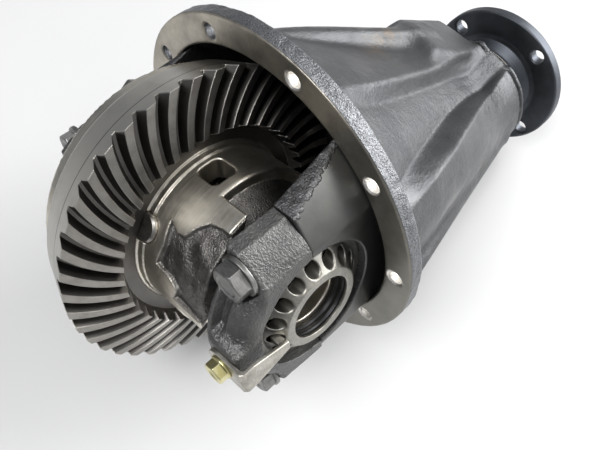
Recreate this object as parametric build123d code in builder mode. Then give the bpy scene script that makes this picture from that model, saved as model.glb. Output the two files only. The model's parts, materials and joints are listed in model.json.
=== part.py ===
from build123d import *
from math import acos, asin, atan, atan2, cos, hypot, pi, radians, sin, sqrt, tan
import os

# Drop-out differential carrier of an 8-inch banjo axle, in millimetres.
#
# The origin is the centre of the machined face of the mounting flange.
# +Y runs along the pinion towards the companion flange, +X along the gear
# axis towards the right axle shaft, and +Z is up.

os.makedirs("parts", exist_ok=True)

# ---- the two axes ----
GEAR_Y = -43.0        # the gear axis runs along X, in front of the mounting face
PINION_X = 27.0       # the pinion axis runs along Y
PINION_Z = -28.0      # hypoid offset, below the gear axis
FIT = 0.1             # running clearance between turned parts

# ---- carrier housing ----
FLANGE_R = 118.0
FLANGE_T = 10.0
OPENING_R = 98.5
BOLT_CIRCLE_R = 106.0
BOLT_HOLE_R = 4.75
BOLT_HOLES = 10
FIRST_BOLT_HOLE = -2.0
PILOT_R = 98.0
WALL = 6.5
CONE_FOOT_R = 103.0
CONE_END_Y = 160.0
CONE_END_R = 46.0
HOLLOW_END_Y = 112.0
WALL_Y = 63.0         # inner face of the wall that holds the head bearing
SADDLE_END_Y = 30.0
NOSE_R = 44.0
NOSE_Y = 195.0
# each rib: azimuth at the flange, width, reach at the flange, and the place
# where it ends: y, and radius and azimuth about the pinion
RIBS = [
    (72, 26, 106, 186, 52, 100),
    (6, 30, 112, 178, 46, 8),
    (-28, 22, 115, 176, 46, -26),
    (-90, 24, 112, 178, 47, -90),
    (-140, 20, 108, 176, 46, -140),
    (172, 20, 106, 176, 46, 176),
    (118, 14, 103, 170, 46, 130),
]

# ---- bearing caps, adjusting nuts and their locks, each side of the case ----
CAP_IN = 61.0
CAP_OUT = 87.0
CAP_R = 57.0
EAR_Y = -75.5         # bolt seats of the cap's ears
EAR_Z = 62.0
CAP_BOLT_X = 72.0
CAP_BOLT_Z = 48.0
CAP_BOLT_R = 5.95
WASHER_T = 2.5
CUP_R = 39.0
THREAD_IN = 78.5      # the adjusting nuts' threads start here
NUT_IN = 80.0
NUT_OUT = 90.5
NUT_R = 40.5
NUT_BORE_R = 20.3
NUT_HOLES = 16
NUT_HOLE_CIRCLE_R = 30.5
NUT_HOLE_R = 4.1
LOCK_SEAT_Y = GEAR_Y - CAP_R - 1
LOCK_BOLT_X = 77.0
LOCK_T = 2.5
LOCK_HALF_WIDTH = 9.0

# ---- ring gear ----
RING_TEETH = 43
HEEL_R = 102.0        # outer end of the ring teeth
TOE_R = 69.0          # inner end
HEEL_TIP_X = -2.5
TOE_TIP_X = 5.0
HEEL_DEPTH = 7.8
TOE_DEPTH = 6.0
CUTTER_R = 80.0       # the teeth are arcs cut by a round face-mill cutter
CUTTER_SWEEP = 56.0   # degrees of cutter travel that cross the face
CUTTER_HEIGHT = 14.0
SPIRAL = radians(28)
PRESSURE = radians(20)
SPACE_POINT = 2.0     # width of a tooth space at its root
FIRST_TOOTH_SPACE = radians(102.4)
BACK_X = -36.0        # back face of the ring gear
GEAR_BORE_R = 57.0
RING_BOLTS = 10
RING_BOLT_CIRCLE_R = 73.0
FIRST_RING_BOLT = 18.0
TAB_T = 1.2

# ---- differential case and the gears in it ----
CENTRE_X = -1.0       # where the gear axis and the cross pin meet
CASE_FLANGE_X = BACK_X - 12
CASE_FLANGE_R = 86.0
REGISTER_X = 1.5      # end of the seat that centres the ring gear
DRUM_R = 54.0
HUB_END_X = 80.0
HUB_ROOT_R = 30.0
HUB_R = 22.6
SEAT_X = 60.0         # shoulder that each side bearing's cone rests against
CAVITY_R = 40.0
POCKET_R = 36.5
AXLE_BORE_R = 17.0
WEB_WIDTH = 78.0
PIN_ANGLE = radians(141)   # direction of the cross pin, from +Y towards +Z
PIN_R = 9.0
WINDOW_X = 13.5
WINDOW_ANGLE = radians(88.5)
WINDOW_WIDTH = 17.0
SIDE_TEETH = 16
SPIDER_TEETH = 10
BEVEL_MODULE = 4.0
BEVEL_FACE = 11.0
BEVEL_ADDENDUM = 2.0
BEVEL_DEDENDUM = 3.6
BEVEL_FLANK = radians(24)
BEVEL_PLAY = 0.7
SIDE_BACK = 27.0      # from the centre to the back of each side gear
SIDE_HUB_R = 20.0
SIDE_HUB = 14.0
SIDE_BORE_R = 14.0
SPIDER_BACK_R = 38.6
THRUST_T = 1.2

# ---- pinion, its bearings and the companion flange ----
PINION_TEETH = 11
TIP_CLEARANCE = 1.0
BACKLASH = 0.45
SECTIONS = 9
HEAD_SEAT_Y = 57.0
HEAD_SEAT_R = 17.5
HEAD_SHIM_T = 1.5
HEAD_CUP_R = 36.0
HEAD_CUP_Y = 80.5
TAIL_SEAT_R = 15.0
TAIL_CUP_R = 31.0
TAIL_CUP_Y = 155.0
TAIL_Y = 172.0
SEAL_Y = 183.0
SEAL_R = 34.0
THREAD_R = 11.0
SHAFT_SHOULDER_Y = 212.0
SHAFT_END_Y = 233.0
COMPANION_Y = 219.0
COMPANION_R = 56.0
COMPANION_T = 8.0
COMPANION_CIRCLE_R = 47.5
COMPANION_HOLES = 4
COMPANION_HOLE_R = 5.1
COMPANION_WEB_T = 5.0
COMPANION_PILOT_R = 31.0
HUB_OUT_R = 21.0
NUT_SEAT_Y = SHAFT_SHOULDER_Y + 1 + COMPANION_WEB_T
ROLLER_TILT = radians(13)
ROLLER_PLAY = 0.04
CAGE_T = 1.1

GEAR_AXIS = Axis((0, GEAR_Y, 0), (1, 0, 0))
PINION_AXIS = Axis((PINION_X, 0, PINION_Z), (0, 1, 0))
FLANGE_AXIS = Axis((0, 0, 0), (0, 1, 0))
# half planes that hold the outline of a turned piece: own x along the axis, own y outwards
GEAR_HALF = Plane(origin=(0, GEAR_Y, 0), x_dir=(1, 0, 0), z_dir=(0, -1, 0))
PINION_HALF = Plane(origin=(PINION_X, 0, PINION_Z), x_dir=(0, 1, 0), z_dir=(1, 0, 0))
FLANGE_HALF = Plane(origin=(0, 0, 0), x_dir=(0, 1, 0), z_dir=(1, 0, 0))
SIDES = ((1, "right"), (-1, "left"))


def across_gear(x):
    """Plane square to the gear axis at x: its own x is +Y and its y is +Z."""
    return Plane(origin=(x, GEAR_Y, 0), x_dir=(0, 1, 0), z_dir=(1, 0, 0))


def across_pinion(y):
    """Plane square to the pinion axis at y: its own x is +Z and its y is +X."""
    return Plane(origin=(PINION_X, y, PINION_Z), x_dir=(0, 0, 1), z_dir=(0, 1, 0))


def across_flange(y):
    """Plane parallel to the mounting face at y: its own x is +Z and its y is +X."""
    return Plane(origin=(0, y, 0), x_dir=(0, 0, 1), z_dir=(0, 1, 0))


def facing(x, y, z, direction):
    """Location at (x, y, z) whose own Z points along direction."""
    return Location(Plane(origin=(x, y, z), z_dir=direction))


def turned(half_plane, axis, *outline, mode=Mode.ADD):
    """Revolve a closed outline of (along, radius) points about an axis."""
    with BuildSketch(half_plane) as section:
        with BuildLine():
            Polyline(*outline, close=True)
        make_face()
    revolve(section.sketch, axis=axis, mode=mode)


def ring(half_plane, axis, start, end, inner_r, outer_r, mode=Mode.ADD):
    """A plain turned ring, or a disc where inner_r is 0."""
    turned(half_plane, axis, (start, inner_r), (end, inner_r), (end, outer_r), (start, outer_r), mode=mode)


def tooth_gap(plane, root_width, top_width, height):
    """Flat outline of a tooth space: narrow at its root, which lies on the plane's own x axis."""
    with BuildSketch(plane) as outline:
        with BuildLine():
            Polyline((-root_width / 2, 0), (root_width / 2, 0), (top_width / 2, height),
                     (-top_width / 2, height), close=True)
        make_face()
    return outline.sketch.face()


def save(piece, label):
    """Label a finished piece and write its STEP file."""
    piece.label = label
    export_step(piece, f"parts/{label}.step")


# ---- carrier housing ----
def rib(azimuth, width, reach, end_y, end_r, end_azimuth):
    """A tapering rib, from the back of the flange down to the nose."""
    foot_r = 80
    with BuildSketch(across_flange(FLANGE_T - 2) * Rot(0, 0, 90 - azimuth)) as foot:
        with Locations(((foot_r + reach) / 2, 0)):
            Rectangle(reach - foot_r, width)
    with BuildSketch(across_pinion(end_y) * Rot(0, 0, 90 - end_azimuth)) as tip:
        with Locations((end_r / 2, 0)):
            Rectangle(end_r, width * 0.62)
    loft([foot.sketch.face(), tip.sketch.face()])


def across_lean(y):
    """Plane parallel to the mounting face, centred on the leaning axis of the cone."""
    share = (y - FLANGE_T) / (CONE_END_Y - FLANGE_T)
    return Plane(origin=(PINION_X * share, y, PINION_Z * share), x_dir=(0, 0, 1), z_dir=(0, 1, 0))


def cone_r(y):
    """Outer radius of the cone at y."""
    return CONE_FOOT_R + (CONE_END_R - CONE_FOOT_R) * (y - FLANGE_T) / (CONE_END_Y - FLANGE_T)


def leaning_cone(start, end, wall):
    """Solid cone between two heights, inside the outer cone by the given wall."""
    with BuildPart() as cone:
        with BuildSketch(across_lean(start)) as foot:
            Circle(cone_r(start) - wall)
        with BuildSketch(across_lean(end)) as tip:
            Circle(cone_r(end) - wall)
        loft([foot.sketch.face(), tip.sketch.face()])
    return cone.part


def saddle(side):
    """Block that carries one side bearing, trimmed to pass the axle housing's opening."""
    with BuildPart() as block:
        with Locations((side * (CAP_IN + CAP_OUT) / 2, (GEAR_Y + SADDLE_END_Y) / 2, 0)):
            Box(CAP_OUT - CAP_IN, SADDLE_END_Y - GEAR_Y, 2 * EAR_Z)
        ring(FLANGE_HALF, FLANGE_AXIS, GEAR_Y - 1, SADDLE_END_Y + 1, 0, PILOT_R, mode=Mode.INTERSECT)
    return block.part


outer_cone = leaning_cone(FLANGE_T, CONE_END_Y, 0)
inner_cone = leaning_cone(FLANGE_T - 0.5, HOLLOW_END_Y, WALL)
saddles = [saddle(side) for side, word in SIDES]

with BuildPart() as carrier_housing:
    # flange, and a cone that leans from its centre to the pinion axis
    ring(FLANGE_HALF, FLANGE_AXIS, 0, FLANGE_T, 0, FLANGE_R)
    add(outer_cone)
    ring(PINION_HALF, PINION_AXIS, CONE_END_Y - 1, NOSE_Y, 0, NOSE_R)
    for shape in RIBS:
        rib(*shape)
    # the hollow that takes the ring gear, and the wall of the head bearing
    ring(FLANGE_HALF, FLANGE_AXIS, -1, FLANGE_T, 0, OPENING_R, mode=Mode.SUBTRACT)
    add(inner_cone, mode=Mode.SUBTRACT)
    ring(PINION_HALF, PINION_AXIS, WALL_Y, HOLLOW_END_Y + 10, 0, HEAD_CUP_R + 14)
    add(saddles)
    # bores of the two pinion bearings and of the seal
    turned(PINION_HALF, PINION_AXIS, (WALL_Y - 1, 0), (WALL_Y - 1, HEAD_CUP_R), (HEAD_CUP_Y, HEAD_CUP_R),
           (HEAD_CUP_Y, 27), (TAIL_CUP_Y, 27), (TAIL_CUP_Y, TAIL_CUP_R), (SEAL_Y - 2, TAIL_CUP_R),
           (SEAL_Y - 2, SEAL_R), (NOSE_Y + 1, SEAL_R), (NOSE_Y + 1, 0), mode=Mode.SUBTRACT)
    # bores of the side bearings and the threads of the adjusting nuts
    for side, word in SIDES:
        turned(GEAR_HALF, GEAR_AXIS, (side * 50, 0), (side * 50, CUP_R), (side * THREAD_IN, CUP_R),
               (side * THREAD_IN, NUT_R), (side * 95, NUT_R), (side * 95, 0), mode=Mode.SUBTRACT)
    # mounting holes, and the threaded holes of the cap bolts
    with BuildSketch(across_flange(-1)):
        with PolarLocations(BOLT_CIRCLE_R, BOLT_HOLES, start_angle=90 - FIRST_BOLT_HOLE):
            Circle(BOLT_HOLE_R)
    extrude(amount=FLANGE_T + 12, mode=Mode.SUBTRACT)
    with BuildSketch(across_flange(GEAR_Y)):
        with GridLocations(2 * CAP_BOLT_Z, 2 * CAP_BOLT_X, 2, 2):
            Circle(CAP_BOLT_R + 0.05)
    extrude(amount=30, mode=Mode.SUBTRACT)
save(carrier_housing.part, "carrier_housing")


# ---- bearing caps ----
def bearing_cap(side):
    """Half ring with two ears, bolted to its saddle across the gear axis."""
    with BuildPart() as cap:
        ring(GEAR_HALF, GEAR_AXIS, side * CAP_IN, side * CAP_OUT, 0, CAP_R)
        with Locations((side * (CAP_IN + CAP_OUT - 2) / 2, (GEAR_Y + EAR_Y) / 2, 0)):
            Box(CAP_OUT - CAP_IN - 6, GEAR_Y - EAR_Y, 2 * EAR_Z)
        # flat seat of the lock plate on the crown
        with Locations((side * 76, LOCK_SEAT_Y + 5, 0)):
            Box(22, 10, 26)
        with Locations((side * 74, GEAR_Y + 50, 0)):
            Box(60, 100, 200, mode=Mode.SUBTRACT)
        ring(GEAR_HALF, GEAR_AXIS, side * 50, side * 100, 0, CUP_R, mode=Mode.SUBTRACT)
        ring(GEAR_HALF, GEAR_AXIS, side * THREAD_IN, side * 100, 0, NUT_R, mode=Mode.SUBTRACT)
        # bolt holes and their spot faces
        for start, radius in ((GEAR_Y + 1, CAP_BOLT_R + 0.55), (EAR_Y, 13)):
            with BuildSketch(across_flange(start)):
                with Locations((CAP_BOLT_Z, side * CAP_BOLT_X), (-CAP_BOLT_Z, side * CAP_BOLT_X)):
                    Circle(radius)
            extrude(amount=-60, mode=Mode.SUBTRACT)
        with BuildSketch(across_flange(LOCK_SEAT_Y - 1)):
            with Locations((0, side * LOCK_BOLT_X)):
                Circle(4)
        extrude(amount=14, mode=Mode.SUBTRACT)
    return cap.part


for side, word in SIDES:
    save(bearing_cap(side), f"bearing_cap_{word}")


# ---- fasteners ----
def hex_bolt(width, head, shank_r, shank, washer_r=0.0, washer=0.0):
    """Hex bolt along Z, its head on top with the underside at z = 0."""
    with BuildPart() as bolt:
        with BuildSketch(Plane.XY.offset(washer)):
            RegularPolygon(width / 2, 6, major_radius=False)
        extrude(amount=head)
        # the corners are turned off
        with BuildSketch(Plane.XY.offset(washer)):
            Circle(width * 0.56)
        extrude(amount=head, mode=Mode.INTERSECT)
        if washer:
            Cylinder(washer_r, washer, align=(Align.CENTER, Align.CENTER, Align.MIN))
        Cylinder(shank_r, shank, align=(Align.CENTER, Align.CENTER, Align.MAX))
        chamfer(bolt.edges().filter_by(GeomType.CIRCLE).sort_by(Axis.Z)[0], shank_r * 0.15)
    return bolt.part


cap_bolt = hex_bolt(19, 8, CAP_BOLT_R, 60)
lock_bolt = hex_bolt(12, 5.5, 3.95, 12, 7.5, 1.2)
ring_bolt = hex_bolt(17, 6.5, 4.95, 30)
cap_bolt_places = [(sx * CAP_BOLT_X, sz * CAP_BOLT_Z) for sx in (1, -1) for sz in (1, -1)]

with BuildPart() as cap_bolts:
    with Locations(*[facing(x, EAR_Y - WASHER_T, z, (0, -1, 0)) for x, z in cap_bolt_places]):
        add(cap_bolt)
save(cap_bolts.part, "cap_bolts")

with BuildPart() as cap_bolt_washers:
    with Locations(*[facing(x, EAR_Y, z, (0, -1, 0)) for x, z in cap_bolt_places]):
        Cylinder(12, WASHER_T, align=(Align.CENTER, Align.CENTER, Align.MIN))
        Hole(CAP_BOLT_R + 0.55)
save(cap_bolt_washers.part, "cap_bolt_washers")

with BuildPart() as lock_plate_bolts:
    with Locations(*[facing(side * LOCK_BOLT_X, LOCK_SEAT_Y - LOCK_T, 0, (0, -1, 0))
                     for side, word in SIDES]):
        add(lock_bolt)
save(lock_plate_bolts.part, "lock_plate_bolts")


# ---- lock plates and adjusting nuts ----
def lock_plate():
    """Bent plate: bolted to the crown of the right cap, its finger sits in a hole of the nut."""
    start_x = LOCK_BOLT_X - 11
    bend_x = NUT_OUT + 1 + LOCK_T
    finger_y = GEAR_Y - NUT_HOLE_CIRCLE_R
    with BuildPart() as plate:
        with Locations(((start_x + bend_x) / 2, LOCK_SEAT_Y - LOCK_T / 2, 0)):
            Box(bend_x - start_x, LOCK_T, 2 * LOCK_HALF_WIDTH)
        with BuildSketch(Plane(origin=(bend_x, 0, 0), x_dir=(0, 1, 0), z_dir=(-1, 0, 0))):
            with BuildLine():
                Polyline((LOCK_SEAT_Y - LOCK_T, -LOCK_HALF_WIDTH), (LOCK_SEAT_Y + 6, -LOCK_HALF_WIDTH),
                         (finger_y + 2.5, -3), (finger_y + 2.5, 3), (LOCK_SEAT_Y + 6, LOCK_HALF_WIDTH),
                         (LOCK_SEAT_Y - LOCK_T, LOCK_HALF_WIDTH), close=True)
            make_face()
        extrude(amount=LOCK_T)
        with Locations((bend_x - 4, finger_y, 0)):
            Box(8, 5, 5)
        with Locations(facing(LOCK_BOLT_X, LOCK_SEAT_Y, 0, (0, -1, 0))):
            Hole(4.2)
    return plate.part


lock_plate_right = lock_plate()
save(lock_plate_right, "lock_plate_right")
save(mirror(lock_plate_right, about=Plane.YZ), "lock_plate_left")

for side, word in SIDES:
    with BuildPart() as adjusting_nut:
        turned(GEAR_HALF, GEAR_AXIS, (side * NUT_IN, NUT_BORE_R), (side * NUT_IN, NUT_R - 1.2),
               (side * (NUT_IN + 1), NUT_R - FIT), (side * (NUT_OUT - 2), NUT_R - FIT),
               (side * NUT_OUT, NUT_R - 2.5), (side * NUT_OUT, NUT_BORE_R))
        with BuildSketch(across_gear(0)):
            with PolarLocations(NUT_HOLE_CIRCLE_R, NUT_HOLES):
                Circle(NUT_HOLE_R)
        extrude(amount=side * 100, mode=Mode.SUBTRACT)
    save(adjusting_nut.part, f"adjusting_nut_{word}")


# ---- ring gear ----
MEAN_R = (HEEL_R + TOE_R) / 2
FACE_WIDTH = HEEL_R - TOE_R
CUTTER_OFFSET = sqrt(MEAN_R**2 + CUTTER_R**2 - 2 * MEAN_R * CUTTER_R * sin(SPIRAL))


def tip_x(r):
    """Height of the ring gear's tooth tips at radius r."""
    return HEEL_TIP_X + (TOE_TIP_X - HEEL_TIP_X) * (HEEL_R - r) / FACE_WIDTH


def depth(r):
    """Depth of the ring gear's tooth spaces at radius r."""
    return HEEL_DEPTH + (TOE_DEPTH - HEEL_DEPTH) * (HEEL_R - r) / FACE_WIDTH


def off_cutter(r):
    """Angle from the cutter's centre to its tooth space at radius r."""
    return acos((r * r + CUTTER_OFFSET**2 - CUTTER_R**2) / (2 * r * CUTTER_OFFSET))


CUTTER_ANGLE = FIRST_TOOTH_SPACE - off_cutter(HEEL_R)


def space_angle(r):
    """Where the middle of the first tooth space lies at radius r, from +Y towards +Z."""
    return CUTTER_ANGLE + off_cutter(r)


def cutter_place():
    """Centre of the cutter's circle, its axis, and one point of the circle, for the first space."""
    root_rise = tip_x(TOE_R) - depth(TOE_R) - tip_x(HEEL_R) + depth(HEEL_R)
    slope = atan2(root_rise, FACE_WIDTH)
    angle = space_angle(MEAN_R)
    axis = Vector(cos(slope), sin(slope) * cos(angle), sin(slope) * sin(angle))
    root = Vector(tip_x(MEAN_R) - depth(MEAN_R), GEAR_Y + MEAN_R * cos(angle), MEAN_R * sin(angle))
    centre = Vector(0, GEAR_Y + CUTTER_OFFSET * cos(CUTTER_ANGLE), CUTTER_OFFSET * sin(CUTTER_ANGLE))
    centre = centre + Vector((root - centre).dot(axis) / axis.X, 0, 0)
    return centre, axis, root


CUTTER_CENTRE, CUTTER_AXIS, CUTTER_POINT = cutter_place()
BLADE_R = (CUTTER_POINT - CUTTER_CENTRE).length

blade = Plane(origin=CUTTER_POINT, x_dir=(CUTTER_POINT - CUTTER_CENTRE),
              z_dir=(CUTTER_POINT - CUTTER_CENTRE).cross(CUTTER_AXIS))
SPACE_TOP = SPACE_POINT + 2 * CUTTER_HEIGHT * tan(PRESSURE)
blade_outline = tooth_gap(blade, SPACE_POINT, SPACE_TOP, CUTTER_HEIGHT)
cutter_line = Axis(CUTTER_CENTRE, CUTTER_AXIS)
with BuildPart() as tooth_space:
    revolve(blade_outline.rotate(cutter_line, -CUTTER_SWEEP / 2), axis=cutter_line,
            revolution_arc=CUTTER_SWEEP)

with BuildPart() as ring_gear:
    turned(GEAR_HALF, GEAR_AXIS, (BACK_X, GEAR_BORE_R), (BACK_X, 91), (BACK_X + 3, 93),
           (HEEL_TIP_X, HEEL_R),
           (TOE_TIP_X, TOE_R), (-3, TOE_R - 4), (-3, GEAR_BORE_R))
    add([tooth_space.part.rotate(GEAR_AXIS, i * 360 / RING_TEETH) for i in range(RING_TEETH)],
        mode=Mode.SUBTRACT)
    with BuildSketch(across_gear(BACK_X - 1)):
        with PolarLocations(RING_BOLT_CIRCLE_R, RING_BOLTS, start_angle=FIRST_RING_BOLT):
            Circle(5)
    extrude(amount=22, mode=Mode.SUBTRACT)
save(ring_gear.part, "ring_gear")

ring_bolt_angles = [radians(FIRST_RING_BOLT + 360 * i / RING_BOLTS) for i in range(RING_BOLTS)]
with BuildPart() as ring_gear_bolts:
    with Locations(*[facing(CASE_FLANGE_X - TAB_T, GEAR_Y + RING_BOLT_CIRCLE_R * cos(angle),
                            RING_BOLT_CIRCLE_R * sin(angle), (-1, 0, 0)) for angle in ring_bolt_angles]):
        add(ring_bolt)
save(ring_gear_bolts.part, "ring_gear_bolts")

# each lock tab is held under two neighbouring bolts
with BuildPart() as bolt_lock_tabs:
    half_step = pi / RING_BOLTS
    with BuildSketch(across_gear(CASE_FLANGE_X)):
        with PolarLocations(RING_BOLT_CIRCLE_R * cos(half_step), RING_BOLTS // 2,
                            start_angle=2 * FIRST_RING_BOLT):
            SlotCenterToCenter(2 * RING_BOLT_CIRCLE_R * sin(half_step), 20, rotation=90)
        with PolarLocations(RING_BOLT_CIRCLE_R, RING_BOLTS, start_angle=FIRST_RING_BOLT):
            Circle(5.2, mode=Mode.SUBTRACT)
    extrude(amount=-TAB_T)
save(bolt_lock_tabs.part, "bolt_lock_tabs")

# ---- differential case ----
CASE_CENTRE = (CENTRE_X, GEAR_Y, 0)
PIN_DIRECTION = Vector(0, cos(PIN_ANGLE), sin(PIN_ANGLE))
PIN_PLANE = Plane(origin=CASE_CENTRE, x_dir=(1, 0, 0), z_dir=PIN_DIRECTION)

# between the two webs that carry the pin, the right end falls away to a cone
with BuildPart() as shoulder:
    turned(GEAR_HALF, GEAR_AXIS, (30, 60), (30, 47), (49, 34), (SEAT_X, 34), (SEAT_X, 60))
    with Locations(PIN_PLANE.location):
        Box(200, 200, WEB_WIDTH, mode=Mode.INTERSECT)

with BuildPart() as differential_case:
    turned(GEAR_HALF, GEAR_AXIS, (-HUB_END_X, 0), (-HUB_END_X, HUB_R), (-SEAT_X, HUB_R),
           (-SEAT_X, HUB_ROOT_R), (CASE_FLANGE_X - 6, 40), (CASE_FLANGE_X, 50),
           (CASE_FLANGE_X, CASE_FLANGE_R),
           (BACK_X, CASE_FLANGE_R), (BACK_X, GEAR_BORE_R), (REGISTER_X, GEAR_BORE_R), (REGISTER_X, DRUM_R),
           (50, DRUM_R), (57, HUB_ROOT_R + 4), (SEAT_X, HUB_ROOT_R), (SEAT_X, HUB_R), (HUB_END_X, HUB_R),
           (HUB_END_X, 0))
    add(shoulder.part, mode=Mode.SUBTRACT)
    # as-cast hollows on the outside of the webs
    for end in (1, -1):
        with Locations(PIN_PLANE.location * Pos(38, 0, end * 60)):
            Box(36, 38, 18, mode=Mode.SUBTRACT)
    # inside: a sphere for the gears, pockets for the side gears and the axle bores
    with BuildSketch(GEAR_HALF) as hollow:
        with BuildLine():
            edge = sqrt(CAVITY_R**2 - POCKET_R**2)
            ThreePointArc((CENTRE_X - edge, POCKET_R), (CENTRE_X, CAVITY_R), (CENTRE_X + edge, POCKET_R))
            for side, word in SIDES:
                back = CENTRE_X + side * (SIDE_BACK + THRUST_T)
                Polyline((CENTRE_X + side * edge, POCKET_R), (back, POCKET_R), (back, SIDE_HUB_R + FIT),
                         (back + side * SIDE_HUB, SIDE_HUB_R + FIT), (back + side * SIDE_HUB, AXLE_BORE_R),
                         (side * 90, AXLE_BORE_R), (side * 90, 0))
            Line((-90, 0), (90, 0))
        make_face()
    revolve(hollow.sketch, axis=GEAR_AXIS, mode=Mode.SUBTRACT)
    # cross pin hole, the small windows and the ring gear's bolt holes
    with Locations(PIN_PLANE.location):
        Cylinder(PIN_R, 130, mode=Mode.SUBTRACT)
    for end in (1, -1):
        outward = (0, end * cos(WINDOW_ANGLE), end * sin(WINDOW_ANGLE))
        with BuildSketch(Plane(origin=(WINDOW_X, GEAR_Y, 0), x_dir=(1, 0, 0), z_dir=outward).offset(30)):
            RectangleRounded(WINDOW_WIDTH, WINDOW_WIDTH, 4)
        extrude(amount=40, mode=Mode.SUBTRACT)
    with BuildSketch(across_gear(BACK_X + 2)):
        with PolarLocations(RING_BOLT_CIRCLE_R, RING_BOLTS, start_angle=FIRST_RING_BOLT):
            Circle(5.2)
    extrude(amount=-30, mode=Mode.SUBTRACT)
save(differential_case.part, "differential_case")

with BuildPart() as cross_pin:
    with Locations(PIN_PLANE.location):
        Cylinder(PIN_R, 2 * GEAR_BORE_R - 1)
    chamfer(cross_pin.edges().filter_by(GeomType.CIRCLE), 1)
save(cross_pin.part, "cross_pin")


# ---- differential bevel gears ----
def bevel_gear(plane, teeth, mate_teeth, phase, bore_r, back, hub=0.0, round_back=False):
    """Straight bevel gear: its apex is the plane's origin and its axis the plane's Z."""
    pitch_r = BEVEL_MODULE * teeth / 2
    pitch_angle = atan2(teeth, mate_teeth)
    cone = pitch_r / sin(pitch_angle)
    tip_angle = pitch_angle + atan(BEVEL_ADDENDUM / cone)
    root_angle = pitch_angle - atan(BEVEL_DEDENDUM / cone)
    inner = cone - BEVEL_FACE
    outer = cone / cos(tip_angle - pitch_angle)
    rim_r = outer * sin(tip_angle)
    axis = Axis(plane.origin, plane.z_dir)
    half = Plane(origin=plane.origin, x_dir=plane.z_dir, z_dir=plane.z_dir.cross(plane.x_dir))
    # a tooth space is a wedge that tapers to the apex along the root line
    root_line = plane.z_dir * cos(root_angle) + plane.x_dir * sin(root_angle)
    across = plane.x_dir.cross(plane.z_dir)
    pitch_width = pi * pitch_r / teeth + BEVEL_PLAY
    height = BEVEL_DEDENDUM + BEVEL_ADDENDUM + 4
    root_width = pitch_width - 2 * BEVEL_DEDENDUM * tan(BEVEL_FLANK)
    top_width = root_width + 2 * height * tan(BEVEL_FLANK)
    with BuildPart() as wedge:
        loft([tooth_gap(Plane(origin=plane.origin + root_line * (cone * scale), x_dir=across,
                              z_dir=root_line),
                        root_width * scale, top_width * scale, height * scale)
              for scale in (0.35, 1.35)])
    with BuildPart() as gear:
        turned(half, axis, (inner * cos(tip_angle), 0), (inner * cos(tip_angle), inner * sin(tip_angle)),
               (outer * cos(tip_angle), rim_r), (min(outer * cos(tip_angle) + 5, back), rim_r),
               (back, rim_r - 2), (back, 0))
        if round_back:
            with Locations(plane.origin):
                Sphere(back, mode=Mode.INTERSECT)
        add([wedge.part.rotate(axis, phase + i * 360 / teeth) for i in range(teeth)], mode=Mode.SUBTRACT)
        if hub:
            ring(half, axis, back, back + hub, 0, SIDE_HUB_R)
        ring(half, axis, 0, 90, 0, bore_r, mode=Mode.SUBTRACT)
    return gear.part


for side, word in SIDES:
    outward = Plane(origin=CASE_CENTRE, x_dir=PIN_DIRECTION, z_dir=(side, 0, 0))
    side_gear = bevel_gear(outward, SIDE_TEETH, SPIDER_TEETH, 0, SIDE_BORE_R, SIDE_BACK, hub=SIDE_HUB)
    save(side_gear, f"side_gear_{word}")
    with BuildPart() as side_washer:
        back = CENTRE_X + side * SIDE_BACK
        ring(GEAR_HALF, GEAR_AXIS, back, back + side * THRUST_T, SIDE_HUB_R + FIT, 33)
    save(side_washer.part, f"side_gear_washer_{word}")

for end, word in ((1, "upper"), (-1, "lower")):
    outward = Plane(origin=CASE_CENTRE, x_dir=(1, 0, 0), z_dir=PIN_DIRECTION * end)
    spider = bevel_gear(outward, SPIDER_TEETH, SIDE_TEETH, 180 / SPIDER_TEETH, PIN_R + FIT, SPIDER_BACK_R,
                        round_back=True)
    save(spider, f"spider_gear_{word}")
    with BuildPart() as spider_washer:
        with Locations(CASE_CENTRE):
            Sphere(CAVITY_R - FIT)
            Sphere(SPIDER_BACK_R + FIT, mode=Mode.SUBTRACT)
        with Locations(outward.location):
            Cylinder(17, 60, align=(Align.CENTER, Align.CENTER, Align.MIN), mode=Mode.INTERSECT)
            Cylinder(PIN_R + FIT, 60, align=(Align.CENTER, Align.CENTER, Align.MIN), mode=Mode.SUBTRACT)
    save(spider_washer.part, f"spider_gear_washer_{word}")


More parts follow.
